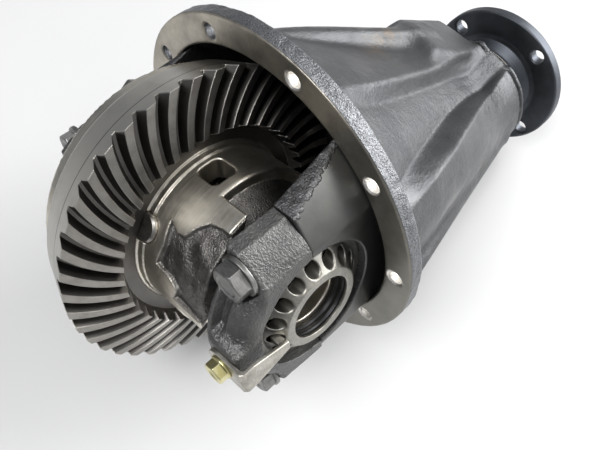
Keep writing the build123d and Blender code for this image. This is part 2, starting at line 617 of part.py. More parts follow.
# ---- tapered roller bearings ----
def tapered_bearing(label, half, axis, big, small, bore_r, outer_r, count):
    """Cone, cup, cage and rollers; the rollers' big ends face the place named big."""
    way = 1 if small > big else -1
    end = abs(small - big) / 2
    length = 1.24 * end
    middle_r = (bore_r + outer_r) / 2 + 0.2
    apex = middle_r / tan(ROLLER_TILT)
    roller_half = asin(0.245 * (outer_r - bore_r) / (apex / cos(ROLLER_TILT)))
    race_in, race_out = ROLLER_TILT - roller_half, ROLLER_TILT + roller_half

    def race_r(u, angle):
        """Radius of a race at u, which runs from the bearing's middle towards its small end."""
        return (apex - u) * tan(angle)

    def at(u):
        """Place along the axis."""
        return (big + small) / 2 + way * u

    rib_u, small_u = -length / 2 - 1.3, length / 2 + 0.8
    big_rib_r = race_r(-length / 2, race_in) + 1.6
    small_rib_r = race_r(small_u, race_in) + 0.8
    with BuildPart() as cone:
        turned(half, axis, (at(-end), bore_r), (at(-end), big_rib_r), (at(rib_u), big_rib_r),
               (at(rib_u), race_r(rib_u, race_in)), (at(small_u), race_r(small_u, race_in)),
               (at(small_u), small_rib_r), (at(end - 1.5), small_rib_r), (at(end - 1.5), bore_r))
    save(cone.part, f"{label}_cone")
    with BuildPart() as cup:
        turned(half, axis, (at(1.5 - end), race_r(1.5 - end, race_out)), (at(end), race_r(end, race_out)),
               (at(end), outer_r), (at(1.5 - end), outer_r))
    save(cup.part, f"{label}_cup")
    # one roller lies along a line that leans by ROLLER_TILT through the apex
    start = half.from_local_coords(Vector(at(-length / 2), race_r(-length / 2, ROLLER_TILT), 0))
    stop = half.from_local_coords(Vector(at(length / 2), race_r(length / 2, ROLLER_TILT), 0))
    line = Plane(origin=start, z_dir=stop - start)
    run = (stop - start).length
    start_r = race_r(-length / 2, ROLLER_TILT) / sin(ROLLER_TILT) * sin(roller_half) - ROLLER_PLAY
    stop_r = race_r(length / 2, ROLLER_TILT) / sin(ROLLER_TILT) * sin(roller_half) - ROLLER_PLAY
    with BuildPart(line) as roller:
        Cone(start_r, stop_r, run, align=(Align.CENTER, Align.CENTER, Align.MIN))
        chamfer(roller.edges().filter_by(GeomType.CIRCLE), 0.4)
    turns = [i * 360 / count for i in range(count)]
    save(Compound(children=[roller.part.rotate(axis, turn).solid() for turn in turns]), f"{label}_rollers")
    with BuildPart(line.offset(-0.3)) as pocket:
        Cone(start_r + 0.35, stop_r + 0.35, run + 0.6, align=(Align.CENTER, Align.CENTER, Align.MIN))
    # the cage is a thin cone with one pocket for each roller
    low, high = -length / 2 - 0.6, end - 0.4
    low_r, high_r = race_r(low, ROLLER_TILT) + 0.5, race_r(high, ROLLER_TILT) + 0.5
    with BuildPart() as cage:
        turned(half, axis, (at(low), low_r), (at(high), high_r), (at(high), high_r + CAGE_T),
               (at(low), low_r + CAGE_T))
        add([pocket.part.rotate(axis, turn) for turn in turns], mode=Mode.SUBTRACT)
    save(cage.part, f"{label}_cage")


for side, word in SIDES:
    tapered_bearing(f"side_bearing_{word}", GEAR_HALF, GEAR_AXIS, side * SEAT_X, side * NUT_IN, HUB_R,
                    CUP_R, 17)
tapered_bearing("head_bearing", PINION_HALF, PINION_AXIS, HEAD_SEAT_Y + HEAD_SHIM_T, HEAD_CUP_Y,
                HEAD_SEAT_R, HEAD_CUP_R, 15)
tapered_bearing("tail_bearing", PINION_HALF, PINION_AXIS, TAIL_Y, TAIL_CUP_Y, TAIL_SEAT_R, TAIL_CUP_R, 14)

# ---- drive pinion: its teeth are generated by rolling it with the ring gear ----
TOE_Y = GEAR_Y + sqrt(TOE_R**2 - PINION_Z**2) - 1.0
HEEL_Y = GEAR_Y + sqrt(HEEL_R**2 - PINION_Z**2) + 1.0
TURN_RATIO = RING_TEETH / PINION_TEETH


def pinion_root_r(y):
    """Radius of the pinion's tooth roots, clear of the ring gear's tips."""
    return PINION_X - tip_x(hypot(y - GEAR_Y, PINION_Z)) - TIP_CLEARANCE


def pinion_tip_r(y):
    """Radius of the pinion's tooth tips, clear of the ring gear's roots."""
    return pinion_root_r(y) + depth(hypot(y - GEAR_Y, PINION_Z))


def off_flank(x, r, angle, side):
    """How far a point lies outside the flank that the cutter's outer (1) or inner (-1) edge cuts."""
    offset_x = x - CUTTER_CENTRE.X
    offset_y = GEAR_Y + r * cos(angle) - CUTTER_CENTRE.Y
    offset_z = r * sin(angle) - CUTTER_CENTRE.Z
    height = offset_x * CUTTER_AXIS.X + offset_y * CUTTER_AXIS.Y + offset_z * CUTTER_AXIS.Z
    reach = sqrt(offset_x**2 + offset_y**2 + offset_z**2 - height**2) - BLADE_R
    return reach - side * (SPACE_POINT / 2 + height * tan(PRESSURE))


def flank_angle(x, r, side):
    """Angle about the gear axis of that flank of the first tooth space, found by Newton's rule."""
    angle, step = space_angle(r), 1e-4
    for _ in range(6):
        miss = off_flank(x, r, angle, side)
        angle -= miss * step / (off_flank(x, r, angle + step, side) - miss)
    return angle


def tooth_limits(y, radius):
    """The two angles about the pinion between which a tooth stays in its space through the mesh."""
    low, high = [], []
    for degree in range(-50, 51, 2):
        around = -pi / 2 + radians(degree)
        x = PINION_X + radius * sin(around)
        z = PINION_Z + radius * cos(around)
        r = hypot(y - GEAR_Y, z)
        in_mesh = x < tip_x(r) + 0.3 or abs(degree) < 10
        if in_mesh and TOE_R - 5 < r < HEEL_R + 1.5:
            place = atan2(z, y - GEAR_Y)
            low.append(around + (flank_angle(x, r, -1) - place) * TURN_RATIO)
            high.append(around + (flank_angle(x, r, 1) - place) * TURN_RATIO)
    play = BACKLASH / 2 / radius
    return max(low) + play, min(high) - play


def pinion_tooth_section(y):
    """Closed outline of one tooth across the pinion at y."""
    root_r, tip_r = pinion_root_r(y) - 1.0, pinion_tip_r(y)
    radii = [root_r + (tip_r - root_r) * step / 5 for step in range(6)]
    limits = [tooth_limits(y, radius) for radius in radii]
    low_side = [(radius * cos(low), radius * sin(low)) for radius, (low, high) in zip(radii, limits)]
    high_side = [(radius * cos(high), radius * sin(high)) for radius, (low, high) in zip(radii, limits)]
    with BuildSketch(across_pinion(y)) as section:
        with BuildLine():
            Polyline(*low_side, *reversed(high_side), close=True)
        make_face()
    return section.sketch.face()


stations = [TOE_Y + (HEEL_Y - TOE_Y) * i / (SECTIONS - 1) for i in range(SECTIONS)]
with BuildPart() as pinion_tooth:
    loft([pinion_tooth_section(y) for y in stations])

with BuildPart() as drive_pinion:
    turned(PINION_HALF, PINION_AXIS, (TOE_Y, 0), (TOE_Y, pinion_root_r(TOE_Y)),
           (HEEL_Y, pinion_root_r(HEEL_Y)),
           (HEAD_SEAT_Y, 26), (HEAD_SEAT_Y, HEAD_SEAT_R), (82, HEAD_SEAT_R), (83, 16.3), (150, 16.3),
           (151, TAIL_SEAT_R), (SHAFT_SHOULDER_Y, TAIL_SEAT_R), (SHAFT_SHOULDER_Y + 1, THREAD_R),
           (SHAFT_END_Y - 1, THREAD_R), (SHAFT_END_Y, THREAD_R - 1), (SHAFT_END_Y, 0))
    add([pinion_tooth.part.rotate(PINION_AXIS, i * 360 / PINION_TEETH) for i in range(PINION_TEETH)])
save(drive_pinion.part, "drive_pinion")


# ---- on the pinion shaft ----
def shaft_piece(label, *outline):
    """A turned piece about the pinion axis, from (along, radius) points."""
    with BuildPart() as piece:
        turned(PINION_HALF, PINION_AXIS, *outline)
    save(piece.part, label)


shaft_piece("head_bearing_shim", (HEAD_SEAT_Y, HEAD_SEAT_R), (HEAD_SEAT_Y + HEAD_SHIM_T, HEAD_SEAT_R),
            (HEAD_SEAT_Y + HEAD_SHIM_T, 24), (HEAD_SEAT_Y, 24))
# thin tube with a waist that yields as the nut is tightened
shaft_piece("crush_spacer", (HEAD_CUP_Y, 17.6), (108, 17.6), (114, 21.5), (120, 17.6), (TAIL_CUP_Y, 17.6),
            (TAIL_CUP_Y, 19.6), (121, 19.6), (114, 23.5), (107, 19.6), (HEAD_CUP_Y, 19.6))
shaft_piece("oil_slinger", (TAIL_Y, TAIL_SEAT_R), (TAIL_Y, 19.5), (TAIL_Y + 1.5, 27), (TAIL_Y + 3, 27),
            (TAIL_Y + 1.5, 19.5), (TAIL_Y + 1.5, TAIL_SEAT_R))
shaft_piece("oil_seal_shell", (SEAL_Y, 30.5), (SEAL_Y, SEAL_R - 0.05), (NOSE_Y, SEAL_R - 0.05),
            (NOSE_Y, 36.5), (NOSE_Y + 1.2, 36.5), (NOSE_Y + 1.2, 32.5), (SEAL_Y + 1.5, 32.5),
            (SEAL_Y + 1.5, 30.5))
shaft_piece("oil_seal_lip", (SEAL_Y + 1.5, 32.5), (SEAL_Y + 1.5, HUB_OUT_R + 0.4),
            (SEAL_Y + 2.5, HUB_OUT_R + FIT), (SEAL_Y + 4, HUB_OUT_R + 0.6), (SEAL_Y + 4.5, 30),
            (SEAL_Y + 9, 31), (SEAL_Y + 9, 32.5))

with BuildPart() as companion_flange:
    face_y = COMPANION_Y + COMPANION_T
    turned(PINION_HALF, PINION_AXIS, (TAIL_Y + 1.5, TAIL_SEAT_R), (TAIL_Y + 1.5, HUB_OUT_R - 2),
           (178, HUB_OUT_R), (199, HUB_OUT_R), (199, 26), (201, 26), (212, 29), (COMPANION_Y - 1, 34),
           (COMPANION_Y, 38),
           (COMPANION_Y, COMPANION_R - 0.8), (COMPANION_Y + 0.8, COMPANION_R), (face_y - 0.8, COMPANION_R),
           (face_y, COMPANION_R - 0.8), (face_y, COMPANION_PILOT_R), (face_y + 2.5, COMPANION_PILOT_R),
           (face_y + 2.5, 23), (NUT_SEAT_Y, 22), (NUT_SEAT_Y, THREAD_R + FIT),
           (SHAFT_SHOULDER_Y + 1, THREAD_R + FIT), (SHAFT_SHOULDER_Y, TAIL_SEAT_R))
    with BuildSketch(across_pinion(COMPANION_Y - 1)):
        with PolarLocations(COMPANION_CIRCLE_R, COMPANION_HOLES, start_angle=45):
            Circle(COMPANION_HOLE_R)
    extrude(amount=COMPANION_T + 2, mode=Mode.SUBTRACT)
save(companion_flange.part, "companion_flange")

shaft_piece("dust_deflector", (199, 26), (200.5, 26), (200.5, 38), (196.5, 41), (196.5, 39.3), (199, 37))
shaft_piece("pinion_nut_washer", (NUT_SEAT_Y, THREAD_R + FIT), (NUT_SEAT_Y, 19), (NUT_SEAT_Y + 2.5, 19),
            (NUT_SEAT_Y + 2.5, THREAD_R + FIT))

with BuildPart() as pinion_nut:
    with BuildSketch(across_pinion(NUT_SEAT_Y + 2.5)):
        RegularPolygon(15, 6, major_radius=False)
        Circle(16.6, mode=Mode.INTERSECT)
    extrude(amount=10)
    # collar above the hexagon, staked to the shaft in use
    ring(PINION_HALF, PINION_AXIS, NUT_SEAT_Y + 2.5, NUT_SEAT_Y + 14.5, 0, 14)
    ring(PINION_HALF, PINION_AXIS, NUT_SEAT_Y, NUT_SEAT_Y + 20, 0, THREAD_R, mode=Mode.SUBTRACT)
save(pinion_nut.part, "pinion_nut")
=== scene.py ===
import json
from math import cos, radians, sin

import bpy
import numpy as np
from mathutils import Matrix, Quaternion, Vector


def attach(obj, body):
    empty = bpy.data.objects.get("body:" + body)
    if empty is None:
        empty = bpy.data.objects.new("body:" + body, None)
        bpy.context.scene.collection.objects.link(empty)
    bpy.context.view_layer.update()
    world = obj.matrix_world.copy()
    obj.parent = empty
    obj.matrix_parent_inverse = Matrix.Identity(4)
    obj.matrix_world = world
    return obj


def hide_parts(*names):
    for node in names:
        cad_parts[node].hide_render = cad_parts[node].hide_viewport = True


# A drop-out differential carrier on a white table. Shapes are worked out in millimetres in the
# frame's own axes: +Y runs along the pinion to the companion flange, +X along the gear axis and
# +Z is up. The castings and machined pieces are surfaces of distance fields.

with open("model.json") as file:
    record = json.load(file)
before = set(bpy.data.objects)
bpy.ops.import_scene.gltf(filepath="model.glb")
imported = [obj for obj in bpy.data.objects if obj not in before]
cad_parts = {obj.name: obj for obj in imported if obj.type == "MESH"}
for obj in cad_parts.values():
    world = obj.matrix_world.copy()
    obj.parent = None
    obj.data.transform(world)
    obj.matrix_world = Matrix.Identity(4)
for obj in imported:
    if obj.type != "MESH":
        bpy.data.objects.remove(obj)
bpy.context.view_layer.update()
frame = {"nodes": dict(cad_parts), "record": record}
nodes = frame["nodes"]

MM = 0.001
GEAR_Y = -43.0
PINION_X, PINION_Z = 27.0, -28.0
FLANGE_R, FLANGE_T, OPENING_R = 118.0, 10.0, 98.5
FLANGE_CIRCLE_R, FLANGE_HOLE_R, FLANGE_HOLES = 106.0, 4.75, 10
CONE_FOOT_R, CONE_END_R, CONE_END_Y, WALL = 103.0, 46.0, 160.0, 6.5
NOSE_R, NOSE_Y = 44.0, 195.0
PILOT_R = 98.0
CAP_IN, CAP_OUT, CAP_R = 61.0, 87.0, 57.0
EAR_Y, EAR_Z = -75.5, 62.0
CAP_BOLT_X, CAP_BOLT_Z = 72.0, 48.0
LOCK_SEAT_Y = GEAR_Y - CAP_R - 1
LOCK_BOLT_X, LOCK_T = 77.0, 2.5
NUT_IN, NUT_OUT, NUT_R, NUT_BORE_R = 80.0, 90.5, 40.5, 20.3
NUT_HOLE_CIRCLE_R, NUT_HOLE_R, NUT_HOLES = 30.5, 4.1, 16
CENTRE_X, PIN_ANGLE = -1.0, radians(141)
DRUM_R, PIN_HOLE_R = 54.0, 9.1
RING_BOLT_CIRCLE_R, RING_BOLT_HOLE_R, RING_BOLTS = 73.0, 5.2, 10
COMPANION_Y, COMPANION_HOLES = 219.0, 4
COMPANION_CIRCLE_R, COMPANION_HOLE_R = 47.5, 5.1

random = np.random.default_rng(7)


# ---- distance fields, in millimetres: negative inside ----
def both(a, b, blend=0.0):
    """Union of two fields, with a fillet of about the given size."""
    if not blend:
        return np.minimum(a, b)
    share = np.clip(0.5 + 0.5 * (b - a) / blend, 0, 1)
    return b + (a - b) * share - blend * share * (1 - share)


def within(a, b, blend=0.0):
    """Intersection of two fields."""
    return -both(-a, -b, blend)


def less(a, b, blend=0.0):
    """What is left of a once b is cut away."""
    return -both(-a, b, blend)


def slab(value, low, high):
    return np.maximum(low - value, value - high)


def block(x, y, z, low, high, rounding=0.0):
    """Box between two corners, its edges rounded."""
    parts = [np.abs(v - (a + b) / 2) - (b - a) / 2 + rounding for v, a, b in zip((x, y, z), low, high)]
    outside = np.sqrt(sum(np.maximum(p, 0) ** 2 for p in parts))
    inside = np.minimum(np.maximum(np.maximum(parts[0], parts[1]), parts[2]), 0)
    return outside + inside - rounding


def outline(u, v, corners):
    """Distance from a closed polygon in the plane of u and v."""
    best, sign = None, np.ones(np.broadcast(u, v).shape)
    for (au, av), (bu, bv) in zip(corners, corners[1:] + corners[:1]):
        eu, ev = bu - au, bv - av
        wu, wv = u - au, v - av
        share = np.clip((wu * eu + wv * ev) / (eu * eu + ev * ev), 0, 1)
        gap = (wu - eu * share) ** 2 + (wv - ev * share) ** 2
        best = gap if best is None else np.minimum(best, gap)
        above, below, left = wv >= 0, v < bv, eu * wv > ev * wu
        sign = np.where((above & below & left) | (~above & ~below & ~left), -sign, sign)
    return sign * np.sqrt(best)


def holes_round(u, v, circle_r, hole_r, count, first=0.0):
    """Distance from evenly spaced round holes; first is the azimuth of one of them, in degrees."""
    out = np.hypot(u, v)
    pitch = 2 * np.pi / count
    angle = np.arctan2(v, u) - radians(first)
    angle = angle - pitch * np.round(angle / pitch)
    return np.hypot(out * np.cos(angle) - circle_r, out * np.sin(angle)) - hole_r


def waves(size, count=9):
    """Smooth seeded lumps of about the given size, from -1 to 1."""
    directions = random.normal(size=(count, 3))
    directions *= (2 * np.pi / size) / np.linalg.norm(directions, axis=1)[:, None]
    directions *= random.uniform(0.6, 1.4, (count, 1))
    phases = random.uniform(0, 2 * np.pi, count)

    def lumps(x, y, z):
        total = sum(np.sin(d[0] * x + d[1] * y + d[2] * z + p) for d, p in zip(directions, phases))
        return total * (1.6 / count)

    return lumps


def surface(field, low, high, step):
    """Surface net of a field inside a box: vertices, moved onto the surface, and quads."""
    axes = [np.arange(a - 1.5 * step, b + 2.5 * step, step, dtype=np.float32) for a, b in zip(low, high)]
    x, y, z = np.meshgrid(*axes, indexing="ij", sparse=True)

    def closed(x, y, z):
        walls = np.maximum(np.maximum(slab(x, low[0], high[0]), slab(y, low[1], high[1])),
                           slab(z, low[2], high[2]))
        return np.maximum(field(x, y, z), walls)

    values = closed(x, y, z)
    shape = values.shape
    cells, places, quads = [], [], []
    for axis in range(3):
        low_end, high_end = [slice(None)] * 3, [slice(None)] * 3
        low_end[axis], high_end[axis] = slice(None, -1), slice(1, None)
        start, stop = values[tuple(low_end)], values[tuple(high_end)]
        at = np.argwhere((start < 0) != (stop < 0))
        a, b = start[tuple(at.T)].astype(float), stop[tuple(at.T)].astype(float)
        place = at.astype(float)
        place[:, axis] += a / (a - b)
        one, two = (axis + 1) % 3, (axis + 2) % 3
        around = []
        for back_one, back_two in ((0, 0), (1, 0), (1, 1), (0, 1)):
            cell = at.copy()
            cell[:, one] -= back_one
            cell[:, two] -= back_two
            around.append(np.ravel_multi_index(cell.T, shape))
        quad = np.stack(around, 1)
        quad[a > 0] = quad[a > 0][:, ::-1]
        quads.append(quad)
        cells.extend(around)
        places.extend([place] * 4)
    names, index = np.unique(np.concatenate(cells), return_inverse=True)
    places = np.concatenate(places)
    count = np.bincount(index)
    verts = np.stack([np.bincount(index, places[:, i]) / count for i in range(3)], 1)
    verts = verts * step + [a[0] for a in axes]
    nudge = 0.04
    for _ in range(2):
        here = closed(*verts.T)
        slope = np.stack([(closed(*(verts + nudge * e).T) - closed(*(verts - nudge * e).T)) / (2 * nudge)
                          for e in np.eye(3)], 1)
        move = slope * (here / np.maximum((slope**2).sum(1), 0.2))[:, None]
        verts -= np.clip(move, -step / 2, step / 2)
    return verts, np.searchsorted(names, np.concatenate(quads))


def turned_over(verts, faces, axis=0):
    """The mirror image of a surface across the middle plane of the gear axis."""
    flipped = verts.copy()
    flipped[:, axis] *= -1
    return flipped, faces[:, ::-1]


def piece(name, verts, faces, body, material, replaces=(), slot=None, masks=None, sharp=None):
    """Blender object from vertices in millimetres, which rides on a body."""
    mesh = bpy.data.meshes.new(name)
    mesh.vertices.add(len(verts))
    mesh.vertices.foreach_set("co", (verts * MM).astype(np.float32).ravel())
    mesh.loops.add(faces.size)
    mesh.loops.foreach_set("vertex_index", faces.astype(np.int32).ravel())
    mesh.polygons.add(len(faces))
    mesh.polygons.foreach_set("loop_start", np.arange(0, faces.size, faces.shape[1], dtype=np.int32))
    mesh.update(calc_edges=True)
    mesh.validate()
    mesh.shade_smooth()
    if sharp:
        mesh.set_sharp_from_angle(angle=radians(sharp))
    for label, values in (masks or {}).items():
        mesh.attributes.new(label, "FLOAT", "POINT").data.foreach_set("value", values.astype(np.float32))
    mesh.materials.append(material)
    made = bpy.data.objects.new(name, mesh)
    bpy.context.scene.collection.objects.link(made)
    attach(made, body)
    if replaces:
        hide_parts(*replaces)
    return made


# ---- materials ----
class Shader:
    """A material under construction; each method adds a node and gives its output."""

    def __init__(self, name):
        self.material = bpy.data.materials.new(name)
        self.material.use_nodes = True
        self.tree = self.material.node_tree
        self.surface = self.tree.nodes["Principled BSDF"]

    def node(self, kind, *links, **settings):
        node = self.tree.nodes.new(kind)
        for key, value in settings.items():
            setattr(node, key, value)
        for socket, value in links:
            self.put(node.inputs[socket], value)
        return node

    def put(self, socket, value):
        if isinstance(value, bpy.types.NodeSocket):
            self.tree.links.new(value, socket)
        else:
            socket.default_value = value

    def place(self):
        return self.node("ShaderNodeTexCoord").outputs["Object"]

    def stretched(self, scale):
        node = self.node("ShaderNodeVectorMath", (0, self.place()), (1, scale), operation="MULTIPLY")
        return node.outputs[0]

    def noise(self, scale, detail=3.0, roughness=0.55, vector=None):
        return self.node("ShaderNodeTexNoise", ("Vector", vector or self.place()), ("Scale", scale),
                         ("Detail", detail), ("Roughness", roughness)).outputs["Fac"]

    def steps(self, value, *stops):
        """Ramp of (place, colour or grey) stops."""
        node = self.node("ShaderNodeValToRGB", ("Fac", value))
        ramp = node.color_ramp
        while len(ramp.elements) < len(stops):
            ramp.elements.new(1.0)
        for element, (place, colour) in zip(ramp.elements, stops):
            element.position = place
            element.color = (*colour, 1) if isinstance(colour, tuple) else (colour, colour, colour, 1)
        return node.outputs["Color"]

    def blend(self, share, a, b, kind="MIX"):
        node = self.node("ShaderNodeMix", data_type="RGBA", blend_type=kind)
        for socket, value in ((0, share), (6, a), (7, b)):
            self.put(node.inputs[socket], (*value, 1) if isinstance(value, tuple) else value)
        return node.outputs[2]

    def maths(self, operation, a, b=0.0, clamp=False):
        return self.node("ShaderNodeMath", (0, a), (1, b), operation=operation, use_clamp=clamp).outputs[0]

    def ramp(self, value, low, high):
        """0 at low, 1 at high."""
        return self.node("ShaderNodeMapRange", ("Value", value), ("From Min", low),
                         ("From Max", high)).outputs["Result"]

    def axes(self):
        return self.node("ShaderNodeSeparateXYZ", (0, self.place())).outputs

    def mask(self, name):
        return self.node("ShaderNodeAttribute", attribute_name=name).outputs["Fac"]

    def rounded(self, radius):
        return self.node("ShaderNodeBevel", ("Radius", radius), samples=4).outputs["Normal"]

    def worn_edges(self, radius):
        """About 1 on edges, 0 on flat places."""
        normal = self.node("ShaderNodeNewGeometry").outputs["Normal"]
        along = self.node("ShaderNodeVectorMath", (0, self.rounded(radius)), (1, normal),
                          operation="DOT_PRODUCT").outputs["Value"]
        return self.ramp(along, 0.985, 0.8)

    def bump(self, height, distance, strength=1.0, normal=None):
        node = self.node("ShaderNodeBump", ("Height", height), ("Distance", distance), ("Strength", strength))
        if normal:
            self.put(node.inputs["Normal"], normal)
        return node.outputs["Normal"]

    def finish(self, colour, roughness, metallic=1.0, normal=None, **sockets):
        self.put(self.surface.inputs["Base Color"], (*colour, 1) if isinstance(colour, tuple) else colour)
        self.put(self.surface.inputs["Roughness"], roughness)
        self.put(self.surface.inputs["Metallic"], metallic)
        if normal:
            self.put(self.surface.inputs["Normal"], normal)
        for socket, value in sockets.items():
            self.surface.inputs[socket.replace("_", " ")].default_value = value
        return self.material


def painted_casting():
    """Satin dark paint over sand-cast iron, oily in places."""
    s = Shader("painted_casting")
    grain = s.maths("ADD", s.noise(700, 3, 0.6), s.maths("MULTIPLY", s.noise(180, 4, 0.6), 1.6))
    oil = s.ramp(s.noise(22, 4, 0.6), 0.48, 0.66)
    rust = s.maths("MULTIPLY", s.ramp(s.noise(14, 5, 0.6), 0.60, 0.72), s.ramp(s.noise(90, 3), 0.4, 0.6))
    colour = s.steps(s.noise(35, 5, 0.6), (0.3, (0.058, 0.060, 0.064)), (0.7, (0.092, 0.094, 0.097)))
    colour = s.blend(s.maths("MULTIPLY", rust, 0.55), colour, (0.14, 0.10, 0.06))
    colour = s.blend(s.maths("MULTIPLY", s.worn_edges(0.0016), 0.35), colour, (0.20, 0.19, 0.18))
    rough = s.blend(oil, (0.46, 0.46, 0.46), (0.30, 0.30, 0.30))
    return s.finish(colour, rough, 0.75, s.bump(grain, 0.0003, 1.0), Specular_IOR_Level=0.6)


def raw_casting(name, dark=1.0, grain_size=1.0):
    """Bare sand-cast iron, dark with oil, its grains catching the light."""
    s = Shader(name)
    coarse = s.maths("MULTIPLY", s.noise(260 / grain_size, 4), 0.35)
    grain = s.maths("ADD", s.noise(900 / grain_size, 2, 0.6), coarse)
    tone = s.noise(60, 5, 0.65)
    colour = s.steps(tone, (0.3, (0.115 * dark, 0.114 * dark, 0.114 * dark)),
                     (0.7, (0.175 * dark, 0.173 * dark, 0.168 * dark)))
    colour = s.blend(s.maths("MULTIPLY", s.worn_edges(0.0012), 0.45), colour, (0.42, 0.41, 0.39))
    return s.finish(colour, s.ramp(tone, -0.4, 1.8), 0.75, s.bump(grain, 0.0007, 1.0))


def machined(name, light, dark, rough=0.34, stain=0.5, streaks=(300, 1500, 300), edge=0.5, patches=28,
             shade=None, wear=0.0007):
    """Turned or milled metal with fine streaks, dark oil patches and bright worn edges, and painted shade
    where a shade mask is given.
    """
    s = Shader(name)
    streak = s.noise(1.0, 3, 0.6, s.stretched(streaks))
    patch = s.ramp(s.noise(patches, 5, 0.6), 0.42, 0.68)
    colour = s.blend(s.maths("MULTIPLY", patch, stain), light, dark)
    colour = s.blend(0.25, colour, s.steps(streak, (0.35, 0.25), (0.65, 0.85)), "OVERLAY")
    colour = s.blend(s.maths("MULTIPLY", s.worn_edges(wear), edge), colour, (0.78, 0.76, 0.72))
    # Painted shade: the colour is darkened to near black where the shade mask is.
    if shade:
        colour = s.blend(s.mask(shade), colour, (0.06, 0.06, 0.062))
    roughness = s.maths("ADD", s.maths("MULTIPLY", streak, 0.18), rough - 0.05)
    return s.finish(colour, roughness, 1.0, s.bump(streak, 0.00004, 0.6, s.rounded(0.0004)))


def flange_steel():
    """Mounting flange: milled face with stains and painted shade towards one side, a rough sparkling cast rim
    behind it, and painted light on the walls of the holes.
    """
    s = Shader("flange_face_and_rim")
    axis = s.axes()
    face = s.ramp(axis[1], 0.0009, 0.0005)
    grain = s.maths("ADD", s.noise(1000, 2, 0.6), s.maths("MULTIPLY", s.noise(350, 3), 0.6))
    stain = s.ramp(s.noise(34, 7, 0.7), 0.40, 0.62)
    # Painted shade: the milled face darkens towards +x and -z.
    side = s.ramp(s.maths("SUBTRACT", axis[0], axis[2]), -0.12, 0.12)
    milled = s.blend(s.maths("MULTIPLY", stain, 0.7), (0.50, 0.46, 0.39), (0.20, 0.19, 0.165))
    milled = s.blend(s.maths("MULTIPLY", side, 0.75), milled, (0.15, 0.15, 0.135))
    cast = s.steps(s.noise(1400, 2, 0.6), (0.30, (0.05, 0.052, 0.056)), (0.55, (0.21, 0.215, 0.225)))
    colour = s.blend(face, cast, milled)
    # Painted light: the walls of the bolt holes on the +x side are painted near white, as if lit through the
    # holes.
    colour = s.blend(s.mask("hole"), colour, (0.80, 0.78, 0.74))
    colour = s.blend(s.maths("MULTIPLY", s.worn_edges(0.0009), 0.7), colour, (0.62, 0.60, 0.56))
    rough = s.blend(face, (0.42, 0.42, 0.42), (0.40, 0.40, 0.40))
    lumps = s.maths("MULTIPLY", grain, s.maths("SUBTRACT", 1.0, s.maths("MULTIPLY", face, 0.93)))
    return s.finish(colour, rough, 0.95, s.bump(lumps, 0.0005, 1.0))


def saddle_iron():
    """Bearing saddle: the sides turned smooth, the rest rough as cast."""
    s = Shader("saddle_iron")
    smooth = s.mask("turned")
    grain = s.maths("ADD", s.noise(900, 2, 0.6), s.maths("MULTIPLY", s.noise(300, 3), 0.7))
    cast = s.steps(s.noise(1200, 2, 0.6), (0.30, (0.05, 0.05, 0.052)), (0.60, (0.15, 0.15, 0.152)))
    turned_face = s.steps(s.noise(30, 4), (0.3, (0.085, 0.086, 0.085)), (0.7, (0.14, 0.138, 0.13)))
    colour = s.blend(smooth, cast, turned_face)
    colour = s.blend(s.maths("MULTIPLY", s.worn_edges(0.0008), 0.55), colour, (0.55, 0.54, 0.50))
    lumps = s.maths("MULTIPLY", grain, s.maths("SUBTRACT", 1.0, s.maths("MULTIPLY", smooth, 0.92)))
    rough = s.blend(smooth, (0.4, 0.4, 0.4), (0.36, 0.36, 0.36))
    return s.finish(colour, rough, 0.9, s.bump(lumps, 0.0005, 1.0))


def case_iron():
    """Differential case: turned drum, bright and warm, with raw cast hollows."""
    s = Shader("case_iron")
    cast = s.mask("cast")
    streak = s.noise(1.0, 3, 0.6, s.stretched((1800, 60, 60)))
    grain = s.maths("ADD", s.noise(1000, 2, 0.6), s.maths("MULTIPLY", s.noise(250, 3), 0.5))
    patch = s.ramp(s.noise(24, 5, 0.6), 0.40, 0.66)
    bright = s.blend(s.maths("MULTIPLY", patch, 0.75), (0.84, 0.79, 0.69), (0.34, 0.32, 0.28))
    bright = s.blend(0.3, bright, s.steps(streak, (0.35, 0.25), (0.65, 0.85)), "OVERLAY")
    raw = s.steps(s.noise(160, 4, 0.65), (0.3, (0.10, 0.095, 0.09)), (0.7, (0.22, 0.21, 0.20)))
    colour = s.blend(cast, bright, raw)
    colour = s.blend(s.maths("MULTIPLY", s.worn_edges(0.0008), 0.45), colour, (0.75, 0.72, 0.66))
    height = s.blend(cast, s.maths("MULTIPLY", streak, 0.06), grain)
    rough = s.blend(cast, s.maths("ADD", s.maths("MULTIPLY", streak, 0.2), 0.24), (0.38, 0.38, 0.38))
    return s.finish(colour, rough, 1.0, s.bump(height, 0.0005, 1.0))


